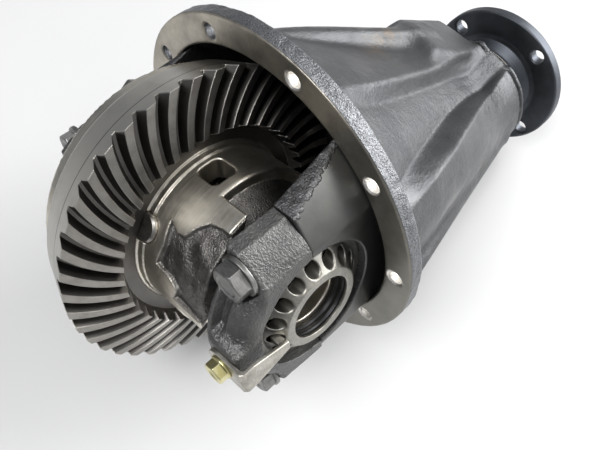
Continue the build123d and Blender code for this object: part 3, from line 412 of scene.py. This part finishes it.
def ring_gear_steel():
    """Ring gear: flanks painted dark as shade in the tooth spaces, lands painted lighter as the lit tops of
    the teeth, and a brushed outer band with a scribed line.
    """
    s = Shader("ring_gear_steel")
    axis = s.axes()
    along = s.maths("ADD", axis[1], -GEAR_Y * MM)
    squares = s.maths("ADD", s.maths("MULTIPLY", along, along), s.maths("MULTIPLY", axis[2], axis[2]))
    radius = s.maths("SQRT", squares)
    tip = s.maths("ADD", s.maths("MULTIPLY", s.maths("SUBTRACT", 0.102, radius), 7.5 / 33), -0.0025)
    below_tip = s.maths("SUBTRACT", tip, axis[0])
    land = s.ramp(below_tip, 0.0006, 0.00025)
    band_r = s.maths("ADD", s.maths("MULTIPLY", s.maths("ADD", axis[0], 0.033), 9 / 30.5), 0.093)
    band = s.ramp(s.maths("SUBTRACT", band_r, radius), 0.0007, 0.0003)
    streak = s.noise(1.0, 3, 0.6, s.stretched((1500, 90, 90)))
    spots = s.ramp(s.noise(26, 5, 0.65), 0.45, 0.68)
    wear = s.ramp(s.noise(140, 4, 0.6), 0.4, 0.7)
    # Painted shade and light: the flanks get a dark copy of the steel and the lands a lighter one, each with
    # oil spots and tone that varies.
    shaded_flank = s.blend(s.maths("MULTIPLY", spots, 0.5), (0.145, 0.138, 0.13), (0.07, 0.067, 0.065))
    top = s.blend(s.maths("MULTIPLY", wear, 0.5), (0.34, 0.325, 0.30), (0.18, 0.17, 0.16))
    outside = s.blend(s.maths("MULTIPLY", spots, 0.45), (0.44, 0.425, 0.39), (0.22, 0.21, 0.19))
    scribe = s.ramp(s.maths("ABSOLUTE", s.maths("ADD", axis[0], 0.0152)), 0.0003, 0.0006)
    outside = s.blend(scribe, (0.12, 0.115, 0.11), outside)
    colour = s.blend(land, shaded_flank, top)
    colour = s.blend(band, colour, outside)
    colour = s.blend(s.maths("MULTIPLY", s.worn_edges(0.0007), 0.35), colour, (0.60, 0.58, 0.54))
    rough = s.maths("ADD", s.maths("MULTIPLY", streak, 0.14), 0.27)
    return s.finish(colour, rough, 1.0, s.bump(streak, 0.00004, 0.7, s.rounded(0.0005)))


def rubber():
    s = Shader("seal_rubber")
    colour = s.steps(s.noise(60, 4), (0.3, 0.014), (0.7, 0.03))
    return s.finish(colour, 0.5, 0.0, s.bump(s.noise(500, 3), 0.0001, 0.6))


def yellow_zinc():
    """Yellow passivated zinc plating, worn at the corners."""
    s = Shader("yellow_zinc")
    tone = s.noise(90, 4, 0.6)
    colour = s.steps(tone, (0.3, (0.62, 0.56, 0.26)), (0.55, (0.74, 0.70, 0.42)), (0.75, (0.55, 0.58, 0.36)))
    colour = s.blend(s.maths("MULTIPLY", s.worn_edges(0.0006), 0.6), colour, (0.85, 0.84, 0.74))
    dents = s.bump(s.noise(500, 3), 0.00005, 0.6, s.rounded(0.0004))
    return s.finish(colour, s.ramp(tone, -0.4, 2.4), 1.0, dents)


CASTING = painted_casting()
SADDLE = saddle_iron()
FLANGE = flange_steel()
CAP = raw_casting("cap_iron", 0.85, 1.3)
CASE = case_iron()
RING = ring_gear_steel()
GEAR = machined("gear_steel", (0.30, 0.29, 0.27), (0.12, 0.115, 0.11))
SHAFT = machined("shaft_steel", (0.42, 0.40, 0.37), (0.20, 0.19, 0.18), rough=0.28)
BEARING = machined("bearing_steel", (0.60, 0.59, 0.57), (0.35, 0.33, 0.30), rough=0.2, stain=0.4, edge=0.3)
BOLT = machined("bolt_steel", (0.26, 0.255, 0.25), (0.11, 0.11, 0.105), rough=0.36, stain=0.6, edge=0.75,
                patches=120)
PLATE = machined("plate_steel", (0.50, 0.48, 0.43), (0.20, 0.185, 0.16), rough=0.34, stain=0.7, edge=0.7,
                 patches=90)
NUT = machined("nut_steel", (0.34, 0.33, 0.295), (0.19, 0.185, 0.17), rough=0.36, stain=0.6,
               streaks=(90, 700, 700), edge=0.8, patches=50, shade="inside")
COMPANION = machined("companion_steel", (0.085, 0.092, 0.105), (0.045, 0.05, 0.058), rough=0.42, stain=0.6,
                     streaks=(60, 1200, 60), edge=1.0, wear=0.0014)
RUBBER = rubber()
ZINC = yellow_zinc()

SLOT_MATERIALS = {
    "carrier_iron": CASTING, "cap_iron": CAP, "case_iron": CASE, "gear_steel": GEAR, "shaft_steel": SHAFT,
    "bearing_steel": BEARING, "bolt_steel": BOLT, "yellow_zinc": ZINC, "plate_steel": PLATE, "nut_steel": NUT,
    "companion_steel": COMPANION, "seal_rubber": RUBBER,
}
for part in frame["record"]["subparts"]:
    node = nodes.get(part["node"])
    if node:
        node.data.materials.clear()
        slot_name = part.get("material_slot") or part.get("material")
        node.data.materials.append(SLOT_MATERIALS.get(slot_name, GEAR))
nodes["ring_gear"].data.materials[0] = RING


# ---- carrier housing ----
flange_lumps, _, fine_lumps = waves(22), waves(48), waves(7)

# ribs of the underside and the left side: azimuth at the flange, width, reach at the flange,
# and the place where it ends: y, and radius and azimuth about the pinion
RIBS = (
    (-28, 20, 115, 176, 46, -26),
    (-90, 24, 112, 178, 47, -90),
    (-140, 20, 108, 176, 46, -140),
    (172, 20, 106, 176, 46, 176),
    (118, 14, 103, 170, 46, 130),
)
TOP_PLANE = (0.108, 0.393, 0.915, 90.5)
# relief of the side between the top pad and the lower rib: azimuth and height above the cone
RELIEF_Y = (20, 50, 80, 110, 150, 188)
RELIEF = (
    ((-8, -8, -6, -2, 2, 6), (0, 0, 0.5, 1, 1, 0)),
    ((13, 16, 19, 24, 29, 32), (4, 6.5, 8, 8, 6, 1)),
    ((19, 24, 29.5, 36.5, 46, 52), (4, 7.5, 9, 9, 6.5, 1)),
    ((27, 31.5, 36.5, 44, 53, 59), (-2, -5.5, -7.5, -8, -6, -2)),
    ((43, 43, 46, 53, 62, 68), (-3, -5.5, -7, -7, -5.5, -2)),
    ((57, 57, 60, 64, 72, 78), (-3, -6.0, -7, -6, -4, -1)),
    ((65, 65.5, 68, 71, 80, 89), (0, 1, 1.5, 2, 3, 3)),
    ((74, 75, 78, 82, 90, 99), (0, 0, 0, 0, 0, 0)),
)


def relief(azimuth, y):
    """Height of the ribs and valleys above the cone."""
    height = 0.0 * azimuth * y
    for (low_at, low_h), (high_at, high_h) in zip(RELIEF, RELIEF[1:]):
        start, stop = np.interp(y, RELIEF_Y, low_at), np.interp(y, RELIEF_Y, high_at)
        share = (azimuth - start) / (stop - start)
        eased = np.clip(share, 0, 1)
        eased = eased * eased * (3 - 2 * eased) * 0.6 + eased * 0.4
        low, high = np.interp(y, RELIEF_Y, low_h), np.interp(y, RELIEF_Y, high_h)
        height = np.where((share >= 0) & (share < 1), low + (high - low) * eased, height)
    return height


def rib(x, y, z, azimuth, width, reach, end_y, end_r, end_azimuth):
    """Tapering rib from the back of the flange down to the nose."""
    share = np.clip((y - 8) / (end_y - 8), 0, 1)
    angle = radians(azimuth) + (radians(end_azimuth) - radians(azimuth)) * share
    u, w = x - PINION_X * share, z - PINION_Z * share
    out = u * np.cos(angle) + w * np.sin(angle)
    across = w * np.cos(angle) - u * np.sin(angle)
    half = width / 2 * (1 - 0.38 * share)
    top = within(out - (reach + (end_r - reach) * share), np.abs(across) - half, 7.0)
    return np.maximum(np.maximum(top, -out), slab(y, 8, end_y + 4))


def top_pad(x, y, z):
    """Broad flat top that runs from the flange to a boss on the nose."""
    a, b, c, d = TOP_PLANE
    right = np.interp(y, (20, 76, 124, 151, 184), (46, 44, 40, 33, 26))
    left = np.interp(y, (20, 48, 108, 160), (-15, -13, -8.5, -4))
    pad = within(a * x + b * y + c * z - d, x - right, 3.5)
    pad = within(pad, left - x, 2.0)
    return np.maximum(np.maximum(pad, -z), slab(y, 8, 186))


def top_fin(x, y, z):
    """Fin along the far side of the flat top."""
    crest = np.interp(y, (8, 42, 81.5, 128, 150), (99, 87, 72, 53, 44))
    across = np.abs(x - np.interp(y, (8, 42, 81.5, 128, 150), (-22, -18, -8, 4, 8)))
    fin = within((z - crest) * 0.92, across - 5 - 0.25 * (crest - z), 5.0)
    return np.maximum(np.maximum(fin * 0.95, -z), slab(y, 8, 150))


def nose_boss(x, y, z):
    """Boss on the nose, its top sloping to the right."""
    top = (z + 0.465 * x + 0.655 * y - 145.2) / 1.284
    top = within(top, (z + 0.55 * y - 126.5) / 1.14, 4.0)
    sides = within(np.maximum(x - 29, -8 - x), y - 193, 1.5)
    front = (136 - y + (z - 50) * 1.2) / 1.56
    return np.maximum(within(within(top, sides, 3.0), front, 6.0), -20 - z)


def across_cone(x, y, z):
    """Share of the way down the leaning cone, distance from its axis, and its radius there."""
    share = (y - FLANGE_T) / (CONE_END_Y - FLANGE_T)
    held = np.minimum(share, 1)
    return held, x - PINION_X * held, z - PINION_Z * held, CONE_FOOT_R + (CONE_END_R - CONE_FOOT_R) * share


def flange_holes(x, z):
    return holes_round(x, z, FLANGE_CIRCLE_R, FLANGE_HOLE_R, FLANGE_HOLES, -2)


def housing_outside(x, y, z):
    share, u, w, cone_r = across_cone(x, y, z)
    radius = -both(-cone_r, -NOSE_R + 0 * y, 5.0)
    skin = (np.hypot(u, w) - radius - relief(np.degrees(np.arctan2(w, u)), y)) * 0.88
    body = np.maximum(skin, slab(y, 5, NOSE_Y))
    for shape in RIBS:
        body = both(body, rib(x, y, z, *shape), 8)
    raised = both(both(top_pad(x, y, z), nose_boss(x, y, z), 15), top_fin(x, y, z), 9)
    body = both(body, raised, 2.5)
    disc = np.maximum(np.hypot(x, z) - FLANGE_R + 1.5, slab(y, 4, FLANGE_T - 0.6))
    body = both(body, disc, 6) + 0.05 * flange_lumps(x, y, z) * np.clip(y / 30, 0, 1)
    return less(body, np.maximum(flange_holes(x, z) - 0.7, y - 24), 0.5)


def housing(x, y, z):
    share, u, w, cone_r = across_cone(x, y, z)
    inner = (np.hypot(u, w) - cone_r + WALL + 4 * np.clip((y - 12) / 30, 0, 1)) * 0.93
    inner = np.maximum(inner, y - 112)
    inner = np.minimum(inner, np.maximum(np.hypot(x, z) - OPENING_R - 0.3, y - FLANGE_T))
    outside = housing_outside(x, y, z)
    body = less(outside, inner, 1.5)
    round_pinion = np.hypot(x - PINION_X, z - PINION_Z)
    web = np.maximum(np.maximum(round_pinion - 50, slab(y, 63, 122)), outside)
    body = both(body, web, 5)
    bore = np.select([y < 80.5, y < 155, y < 181], [36.0, 27.0, 31.0], 34.0)
    groove = np.maximum(np.abs(y - 190.6) - 0.8, 42.6 - round_pinion)
    return less(less(body, round_pinion - bore), groove, 0.4)


verts, faces = surface(housing, (-118, 3, -118), (118, 195, 118), 1.5)
piece("carrier_casting", verts, faces, "carrier", CASTING, ["carrier_housing"], "carrier_iron")


def mounting_flange(x, y, z):
    round_r = np.hypot(x, z)
    ragged = 0.45 * flange_lumps(x, y, z) + 0.25 * fine_lumps(x, y, z)
    rim = np.maximum(round_r - FLANGE_R + 0.9 + ragged * np.clip(y / 2.0, 0.15, 1), OPENING_R - round_r)
    ring = within(rim, slab(y, 0, FLANGE_T), 0.9)
    return less(ring, flange_holes(x, z) - np.clip(0.8 - y, 0, 0.8))


verts, faces = surface(mounting_flange, (-118, 0, -118), (118, FLANGE_T, 118), 0.9)
# Mask for painted light: the walls of the flange's bolt holes on the +x side.
painted_light_in_holes = ((flange_holes(verts[:, 0], verts[:, 2]) < 0.9) & (verts[:, 0] > 0)).astype(float)
piece("mounting_flange", verts, faces, "carrier", FLANGE, slot="carrier_iron", masks={"hole": painted_light_in_holes})


# ---- bearing saddles and caps ----
def saddle_top(y):
    """Half height of the saddle, which widens towards the flange."""
    return EAR_Z + (y - GEAR_Y) * 0.3


def saddle(x, y, z):
    body = np.maximum(slab(x, CAP_IN, CAP_OUT), slab(y, GEAR_Y + 0.25, 26))
    upper = np.abs(z) - saddle_top(y) + 0.35 * fine_lumps(x, y, z)
    body = within(body, upper, 0.8)
    body = within(body, np.hypot(x, z) - PILOT_R + 0.3, 0.6)
    share, u, w, cone_r = across_cone(x, y, z)
    body = within(body, np.where(y > 9, np.hypot(u, w) - cone_r + 4, -10), 0.5)
    round_gear = np.hypot(y - GEAR_Y, z)
    return less(body, round_gear - np.where(x > 78.5, NUT_R, 39.0), 0.5)


def turned_side(verts):
    """1 where the saddle was turned with the flange's pilot, 0 where it is as cast."""
    x, y, z = verts.T
    ragged = 1.2 * fine_lumps(x * 2, y * 2, z * 2)
    on_pilot = np.hypot(x, z) > PILOT_R - 1.0
    on_face = x > CAP_OUT - 0.4
    return ((on_pilot & (np.abs(z) < saddle_top(y) - 1.5 + ragged)) | on_face).astype(float)


verts, faces = surface(saddle, (CAP_IN, GEAR_Y, -84), (CAP_OUT, 26, 84), 0.9)
turned = {"turned": turned_side(verts)}
piece("bearing_saddle_right", verts, faces, "carrier", SADDLE, slot="carrier_iron", masks=turned)
piece("bearing_saddle_left", *turned_over(verts, faces), "carrier", SADDLE, slot="carrier_iron", masks=turned)


def bearing_cap(x, y, z):
    round_gear = np.hypot(y - GEAR_Y, z)
    # across the crown: a raised lip, a channel, and a shoulder that rounds down to the nut
    channel = np.clip((np.abs(z) - 14) / 4, 0, 1) * np.clip((44 - np.abs(z)) / 5, 0, 1)
    plain = np.interp(x, (61, 70, 80, 84, 87), (57, 57, 54.5, 52.0, 47.0))
    hollowed = np.interp(x, (61, 64.5, 66.5, 69.5, 72, 80, 84, 87), (57, 57, 51, 51, 53, 52.5, 50.0, 46.0))
    crown_r = plain + (hollowed - plain) * channel
    crown = within((round_gear - crown_r) * 0.8, slab(x, CAP_IN + 0.3, CAP_OUT - 0.2), 2.0)
    # ears: a rounded strip along the top, then a facet that leans down to the nut
    section = outline(x, np.abs(z), [(61.5, 0), (61.5, 61.5), (71, 61), (75.5, 57.3), (86.8, 45), (86.8, 0)])
    ears = within(section, slab(y, EAR_Y, GEAR_Y + 20), 3.0)
    seat = block(x, y, z, (CAP_IN + 4, LOCK_SEAT_Y, -13), (CAP_OUT, LOCK_SEAT_Y + 20, 13), 3.0)
    body = both(both(crown, ears, 4.0), seat, 4.0) + 0.06 * fine_lumps(x, y, z)
    for side in (1, -1):
        spot = np.maximum(np.hypot(x - CAP_BOLT_X, z - side * CAP_BOLT_Z) - 13, y - EAR_Y)
        body = less(body, spot, 0.6)
    body = np.maximum(body, y - GEAR_Y + 0.25)
    return less(body, round_gear - np.where(x > 78.5, NUT_R, 39.0), 1.0)


verts, faces = surface(bearing_cap, (CAP_IN, LOCK_SEAT_Y - 0.5, -EAR_Z), (CAP_OUT, GEAR_Y, EAR_Z), 0.75)
piece("bearing_cap_cast_right", verts, faces, "carrier", CAP, ["bearing_cap_right"], "cap_iron")
piece("bearing_cap_cast_left", *turned_over(verts, faces), "carrier", CAP, ["bearing_cap_left"], "cap_iron")


# ---- adjusting nuts ----
def adjusting_nut(x, y, z):
    round_gear = np.hypot(y - GEAR_Y, z)
    # flat round the bore, then dished away towards the rim
    body = outline(x, round_gear, [(NUT_IN, 10), (NUT_OUT, 10), (NUT_OUT, 25.5), (NUT_OUT - 9, 36),
                                   (NUT_OUT - 9.2, NUT_R - 0.1), (NUT_IN, NUT_R - 0.1)])
    thread = np.clip(2.0 * np.abs((x / 4.0) % 1.0 - 0.5), 0, 0.8) * (x < NUT_OUT - 2.2)
    body = less(body, round_gear - NUT_BORE_R - thread, 0.4)
    return less(body, holes_round(y - GEAR_Y, z, NUT_HOLE_CIRCLE_R, NUT_HOLE_R, NUT_HOLES), 0.7)


verts, faces = surface(adjusting_nut, (NUT_IN, GEAR_Y - NUT_R, -NUT_R), (NUT_OUT, GEAR_Y + NUT_R, NUT_R), 0.5)
# Painted shade for the nut: the bore is darkened fully and the dish towards the rim by about half, through
# the "inside" mask.
from_axis = np.hypot(verts[:, 1] - GEAR_Y, verts[:, 2])
in_bore = (from_axis < NUT_BORE_R + 1.2) & (verts[:, 0] < NUT_OUT - 1.5)
inner = {"inside": np.where(in_bore, 1.0, np.clip((from_axis - 27) / 5, 0, 1) * 0.55)}
piece("adjusting_nut_drilled_right", verts, faces, "carrier", NUT, ["adjusting_nut_right"], "nut_steel",
      inner)
piece("adjusting_nut_drilled_left", *turned_over(verts, faces), "carrier", NUT, ["adjusting_nut_left"],
      "nut_steel", inner)


# ---- bolts, washers and lock plates ----
def hexagon(u, v, width):
    """Distance from a hexagonal bar of the given width across its flats."""
    u, v = np.abs(u), np.abs(v)
    return np.maximum(v, u * cos(radians(30)) + v * sin(radians(30))) - width / 2


def bolt_head(width, height, washer_r, washer_t):
    """Hexagon head on a washer face; its axis is +Z and it stands on z = 0."""

    def field(x, y, z):
        head = within(hexagon(x, y, width), slab(z, 0, height), 0.5)
        head = within(head, (np.hypot(x, y) + (z - height) * 1.7 - width * 0.5) * 0.5, 0.4)
        dish = np.maximum(np.hypot(x, y) - width * 0.34 + (height - z), height - 0.7 - z)
        collar = within(np.hypot(x, y) - washer_r, slab(z, -washer_t, 0.2), 0.5)
        return both(less(head, dish, 0.4), collar, 0.4)

    reach = max(washer_r, width * 0.58) + 0.5
    return surface(field, (-reach, -reach, -washer_t), (reach, reach, height), 0.4)


def set_of(name, shape, places, turns, body, material, replaces, slot):
    """Copies of a shape with their axes along -Y, each turned about its axis, joined in one piece."""
    verts, faces = shape
    all_verts, all_faces = [], []
    for i, ((x, y, z), turn) in enumerate(zip(places, turns)):
        c, s = cos(radians(turn)), sin(radians(turn))
        u, v, w = verts.T
        all_verts.append(np.stack([x + u * c - v * s, y - w, z + u * s + v * c], 1))
        all_faces.append(faces + i * len(verts))
    piece(name, np.concatenate(all_verts), np.concatenate(all_faces), body, material, replaces, slot)


cap_bolt_places = [(sx * CAP_BOLT_X, EAR_Y - 2.5, sz * CAP_BOLT_Z) for sx in (1, -1) for sz in (1, -1)]
set_of("cap_bolt_heads", bolt_head(18.8, 8, 11.9, 2.5), cap_bolt_places, (8, 40, 22, 51), "carrier", BOLT,
       ["cap_bolts", "cap_bolt_washers"], "bolt_steel")
lock_bolt_places = [(side * LOCK_BOLT_X, LOCK_SEAT_Y - LOCK_T - 1.2, 0) for side in (1, -1)]
set_of("lock_bolt_heads", bolt_head(11.9, 5.5, 7.4, 1.2), lock_bolt_places, (20, 5), "carrier", ZINC,
       ["lock_plate_bolts"], "yellow_zinc")


def lock_plate(x, y, z):
    """Bent plate on the cap's crown, its finger in a hole of the nut."""
    finger_y = GEAR_Y - NUT_HOLE_CIRCLE_R
    bend_x = NUT_OUT + 1 + LOCK_T
    low_y = LOCK_SEAT_Y - LOCK_T
    flat = block(x, y, 0 * z, (66, low_y, -1), (bend_x, low_y + LOCK_T, 1))
    arm = block(x, y, 0 * z, (bend_x - LOCK_T, low_y, -1), (bend_x, finger_y + 2.5, 1))
    strip = within(both(flat, arm, 2.5), (x - bend_x) * 0.7 + (low_y - y) * 0.7 + 1.3, 0.8)
    half = np.interp(y, (LOCK_SEAT_Y + 6, finger_y + 2.5), (9.0, 3.2))
    strip = within(strip, np.abs(z) - half, 0.5)
    finger = block(x, y, z, (bend_x - 10, finger_y - 2.5, -2.5), (bend_x, finger_y + 2.5, 2.5), 0.5)
    rounded_end = np.where(x < 75, np.hypot(x - 75, z) - 9, -9)
    return both(np.maximum(strip, rounded_end), finger, 0.8)


verts, faces = surface(lock_plate, (65, LOCK_SEAT_Y - LOCK_T, -9), (NUT_OUT + 1 + LOCK_T, GEAR_Y - 25, 9),
                       0.5)
piece("lock_plate_bent_right", verts, faces, "carrier", PLATE, ["lock_plate_right"], "plate_steel")
piece("lock_plate_bent_left", *turned_over(verts, faces), "carrier", PLATE, ["lock_plate_left"],
      "plate_steel")


# ---- differential case ----
# edge of the raw cast hollow on the drum: place along the gear axis, and azimuth in degrees
HOLLOW_EDGE = ((13, 127), (21, 131), (26, 130), (31, 121), (36, 115), (44, 113), (60, 113), (60, 176),
               (27, 175), (31, 165), (25, 160), (12, 158), (15, 143))
case_lumps, case_grain = waves(13), waves(5)


def hollow(x, y, z):
    """Distance from the raw cast hollows, measured on the drum."""
    angle = np.degrees(np.arctan2(z, y - GEAR_Y))
    corners = [(u, radians(v) * DRUM_R) for u, v in HOLLOW_EDGE]
    first = outline(x, np.radians(angle % 360) * DRUM_R, corners)
    second = outline(x, np.radians((angle + 180) % 360) * DRUM_R, corners)
    return np.minimum(first, second)


def case_right(x, y, z):
    round_gear = np.hypot(y - GEAR_Y, z)
    body = outline(x, round_gear, [(-37, 0), (80, 0), (80, 22.6), (60, 22.6), (60, 30), (57, 34),
                                   (50, DRUM_R), (1.5, DRUM_R), (1.5, 55.2), (-2.6, 55.2), (-3, 57),
                                   (-37, 57)])
    along_pin = (y - GEAR_Y) * cos(PIN_ANGLE) + z * sin(PIN_ANGLE)
    cone = np.interp(x, (30, 49, 62), (47, 34, 34))
    shoulder = np.maximum(np.maximum((cone - round_gear) * 0.8, slab(x, 30, 60)), np.abs(along_pin) - 39)
    body = less(body, shoulder, 2.5)
    raw = hollow(x, y, z)
    rough = 0.25 * case_lumps(x, y, z) + 0.15 * case_grain(x, y, z)
    floor = 51.0 + 0.8 * case_lumps(y, z, x)
    sunk = within(raw + 0.4, (floor - round_gear) + rough, 2.0)
    body = less(body, sunk, 1.0)
    cavity = np.hypot(x - CENTRE_X, round_gear) - 40
    cavity = np.minimum(cavity, np.maximum(round_gear - 36.5, np.abs(x - CENTRE_X) - 28.2))
    cavity = np.minimum(cavity, np.maximum(round_gear - 20.1, np.abs(x - CENTRE_X) - 42.2))
    cavity = np.minimum(cavity, round_gear - 17)
    body = less(body, cavity, 0.8)
    pin_hole = np.hypot(x - CENTRE_X, z * cos(PIN_ANGLE) - (y - GEAR_Y) * sin(PIN_ANGLE)) - PIN_HOLE_R
    body = less(body, pin_hole)
    tilt = radians(88.5)
    out = (y - GEAR_Y) * cos(tilt) + z * sin(tilt)
    across = z * cos(tilt) - (y - GEAR_Y) * sin(tilt)
    window = np.maximum(rounded_square(x - 13.5, across, 8.5, 4), 30 - np.abs(out))
    return less(body, window, 0.8)


def rounded_square(u, v, half, corner):
    a, b = np.abs(u) - half + corner, np.abs(v) - half + corner
    return np.hypot(np.maximum(a, 0), np.maximum(b, 0)) + np.minimum(np.maximum(a, b), 0) - corner


def case_left(x, y, z):
    round_gear = np.hypot(y - GEAR_Y, z)
    body = outline(x, round_gear, [(-80, 0), (-36, 0), (-36, 86), (-48, 86), (-48, 50), (-54, 40),
                                   (-60, 30), (-60, 22.6), (-80, 22.6)])
    body = less(body, holes_round(y - GEAR_Y, z, RING_BOLT_CIRCLE_R, RING_BOLT_HOLE_R, RING_BOLTS, 18))
    bore = np.where(x < -43.2, 17.0, 20.1)
    return less(body, round_gear - bore, 0.5)


verts, faces = surface(case_right, (-37, GEAR_Y - 57.5, -57.5), (80, GEAR_Y + 57.5, 57.5), 0.85)
raw_mask = np.clip(0.5 - hollow(*verts.T) / 1.2, 0, 1)
depth = DRUM_R - np.hypot(verts[:, 1] - GEAR_Y, verts[:, 2])
raw_mask = np.where((verts[:, 0] > 30) & (depth > 1.2), 1.0, raw_mask)
raw_mask = np.where((verts[:, 0] < 4) | (verts[:, 0] > 59), 0.0, raw_mask)
piece("case_drum", verts, faces, "case_unit", CASE, ["differential_case"], "case_iron", {"cast": raw_mask})
verts, faces = surface(case_left, (-80, GEAR_Y - 86.5, -86.5), (-36, GEAR_Y + 86.5, 86.5), 1.1)
rough_left = np.clip((np.hypot(verts[:, 1] - GEAR_Y, verts[:, 2]) - 31) / 2, 0, 1) * (verts[:, 0] < -48.5)
piece("case_flange", verts, faces, "case_unit", CASE, slot="case_iron", masks={"cast": rough_left})


# ---- companion flange ----
def companion(x, y, z):
    round_pinion = np.hypot(x - PINION_X, z - PINION_Z)
    body = outline(y, round_pinion, [(173.5, 0), (173.5, 19), (178, 21), (199, 21), (199, 26), (201, 26),
                                     (212, 29), (218, 34), (219, 38), (219, 55.4), (219.8, 56), (226.2, 56),
                                     (227, 55.4), (227, 31), (229.5, 31), (229.5, 0)])
    bore = np.interp(y, (212, 212.1, 217.9, 218, 229.5), (15, 11.1, 11.1, 22, 23))
    body = less(body, round_pinion - bore, 0.5)
    hole = holes_round(x - PINION_X, z - PINION_Z, COMPANION_CIRCLE_R, COMPANION_HOLE_R, COMPANION_HOLES, 45)
    return less(body, hole - np.clip(COMPANION_Y + 0.8 - y, 0, 0.8), 0.3)


verts, faces = surface(companion, (PINION_X - 56, 173.5, PINION_Z - 56),
                       (PINION_X + 56, 229.5, PINION_Z + 56), 0.8)
piece("companion_flange_turned", verts, faces, "pinion_unit", COMPANION, ["companion_flange"],
      "companion_steel")


# ---- table, light and camera ----
TABLE_UP = Vector((0.229, -0.187, 0.955)).normalized()
TABLE_DROP = 0.1175
CAMERA_AT = Vector((0.2251, -0.1615, 0.2813))
CAMERA_TURN = Quaternion((0.871576, 0.302499, 0.167284, 0.347657))
CAMERA_LENS = 36.255

bpy.ops.mesh.primitive_plane_add(size=8, location=TABLE_UP * -TABLE_DROP)
table = bpy.context.object
table.name = "table"
table.rotation_mode = "QUATERNION"
table.rotation_quaternion = TABLE_UP.to_track_quat("Z", "Y")
white = Shader("table_white")
cloud = white.noise(3, 3)
table.data.materials.append(white.finish(white.steps(cloud, (0.3, 0.66), (0.7, 0.70)), 0.5, 0.0))

camera_data = bpy.data.cameras.new("camera")
camera_data.lens = CAMERA_LENS
camera_data.sensor_width = 36
camera_data.clip_start = 0.01
camera = bpy.data.objects.new("camera", camera_data)
camera.location = CAMERA_AT
camera.rotation_mode = "QUATERNION"
camera.rotation_quaternion = CAMERA_TURN
bpy.context.scene.collection.objects.link(camera)
bpy.context.scene.camera = camera

camera_right = CAMERA_TURN @ Vector((1, 0, 0))
camera_up = CAMERA_TURN @ Vector((0, 1, 0))
away = (camera_up - TABLE_UP * camera_up.dot(TABLE_UP)).normalized()
MIDDLE = Vector((0, 0.04, 0))


def soft_light(name, direction, distance, size, watts, tint=(1, 1, 1)):
    """Square area light that faces the object."""
    data = bpy.data.lights.new(name, "AREA")
    data.size = size
    data.energy = watts
    data.color = tint
    light = bpy.data.objects.new(name, data)
    light.location = MIDDLE + direction.normalized() * distance
    light.rotation_mode = "QUATERNION"
    light.rotation_quaternion = direction.to_track_quat("Z", "Y")
    bpy.context.scene.collection.objects.link(light)


soft_light("window_light", camera_right * 1.0 + away * 0.35 + TABLE_UP * 0.5, 1.5, 1.2, 36)
soft_light("ceiling_light", TABLE_UP - camera_right * 0.35 - away * 0.25, 1.5, 0.8, 17)

world = bpy.data.worlds.new("studio")
world.use_nodes = True
bpy.context.scene.world = world
tree = world.node_tree
place = tree.nodes.new("ShaderNodeTexCoord")
toward = tree.nodes.new("ShaderNodeVectorMath")
toward.operation = "DOT_PRODUCT"
toward.inputs[1].default_value = away * 0.2 + camera_right * 0.95 + TABLE_UP * 0.1
tree.links.new(place.outputs["Generated"], toward.inputs[0])
sky = tree.nodes.new("ShaderNodeValToRGB")
sky.color_ramp.elements[0].position = 0.35
sky.color_ramp.elements[0].color = (0.17, 0.18, 0.20, 1)
sky.color_ramp.elements[1].position = 0.80
sky.color_ramp.elements[1].color = (1.0, 1.0, 1.0, 1)
shift = tree.nodes.new("ShaderNodeMapRange")
shift.inputs["From Min"].default_value = -1
shift.inputs["From Max"].default_value = 1
tree.links.new(toward.outputs["Value"], shift.inputs["Value"])
tree.links.new(shift.outputs["Result"], sky.inputs["Fac"])
tree.links.new(sky.outputs["Color"], tree.nodes["Background"].inputs["Color"])
tree.nodes["Background"].inputs["Strength"].default_value = 0.8
bpy.context.scene.view_settings.view_transform = "Standard"
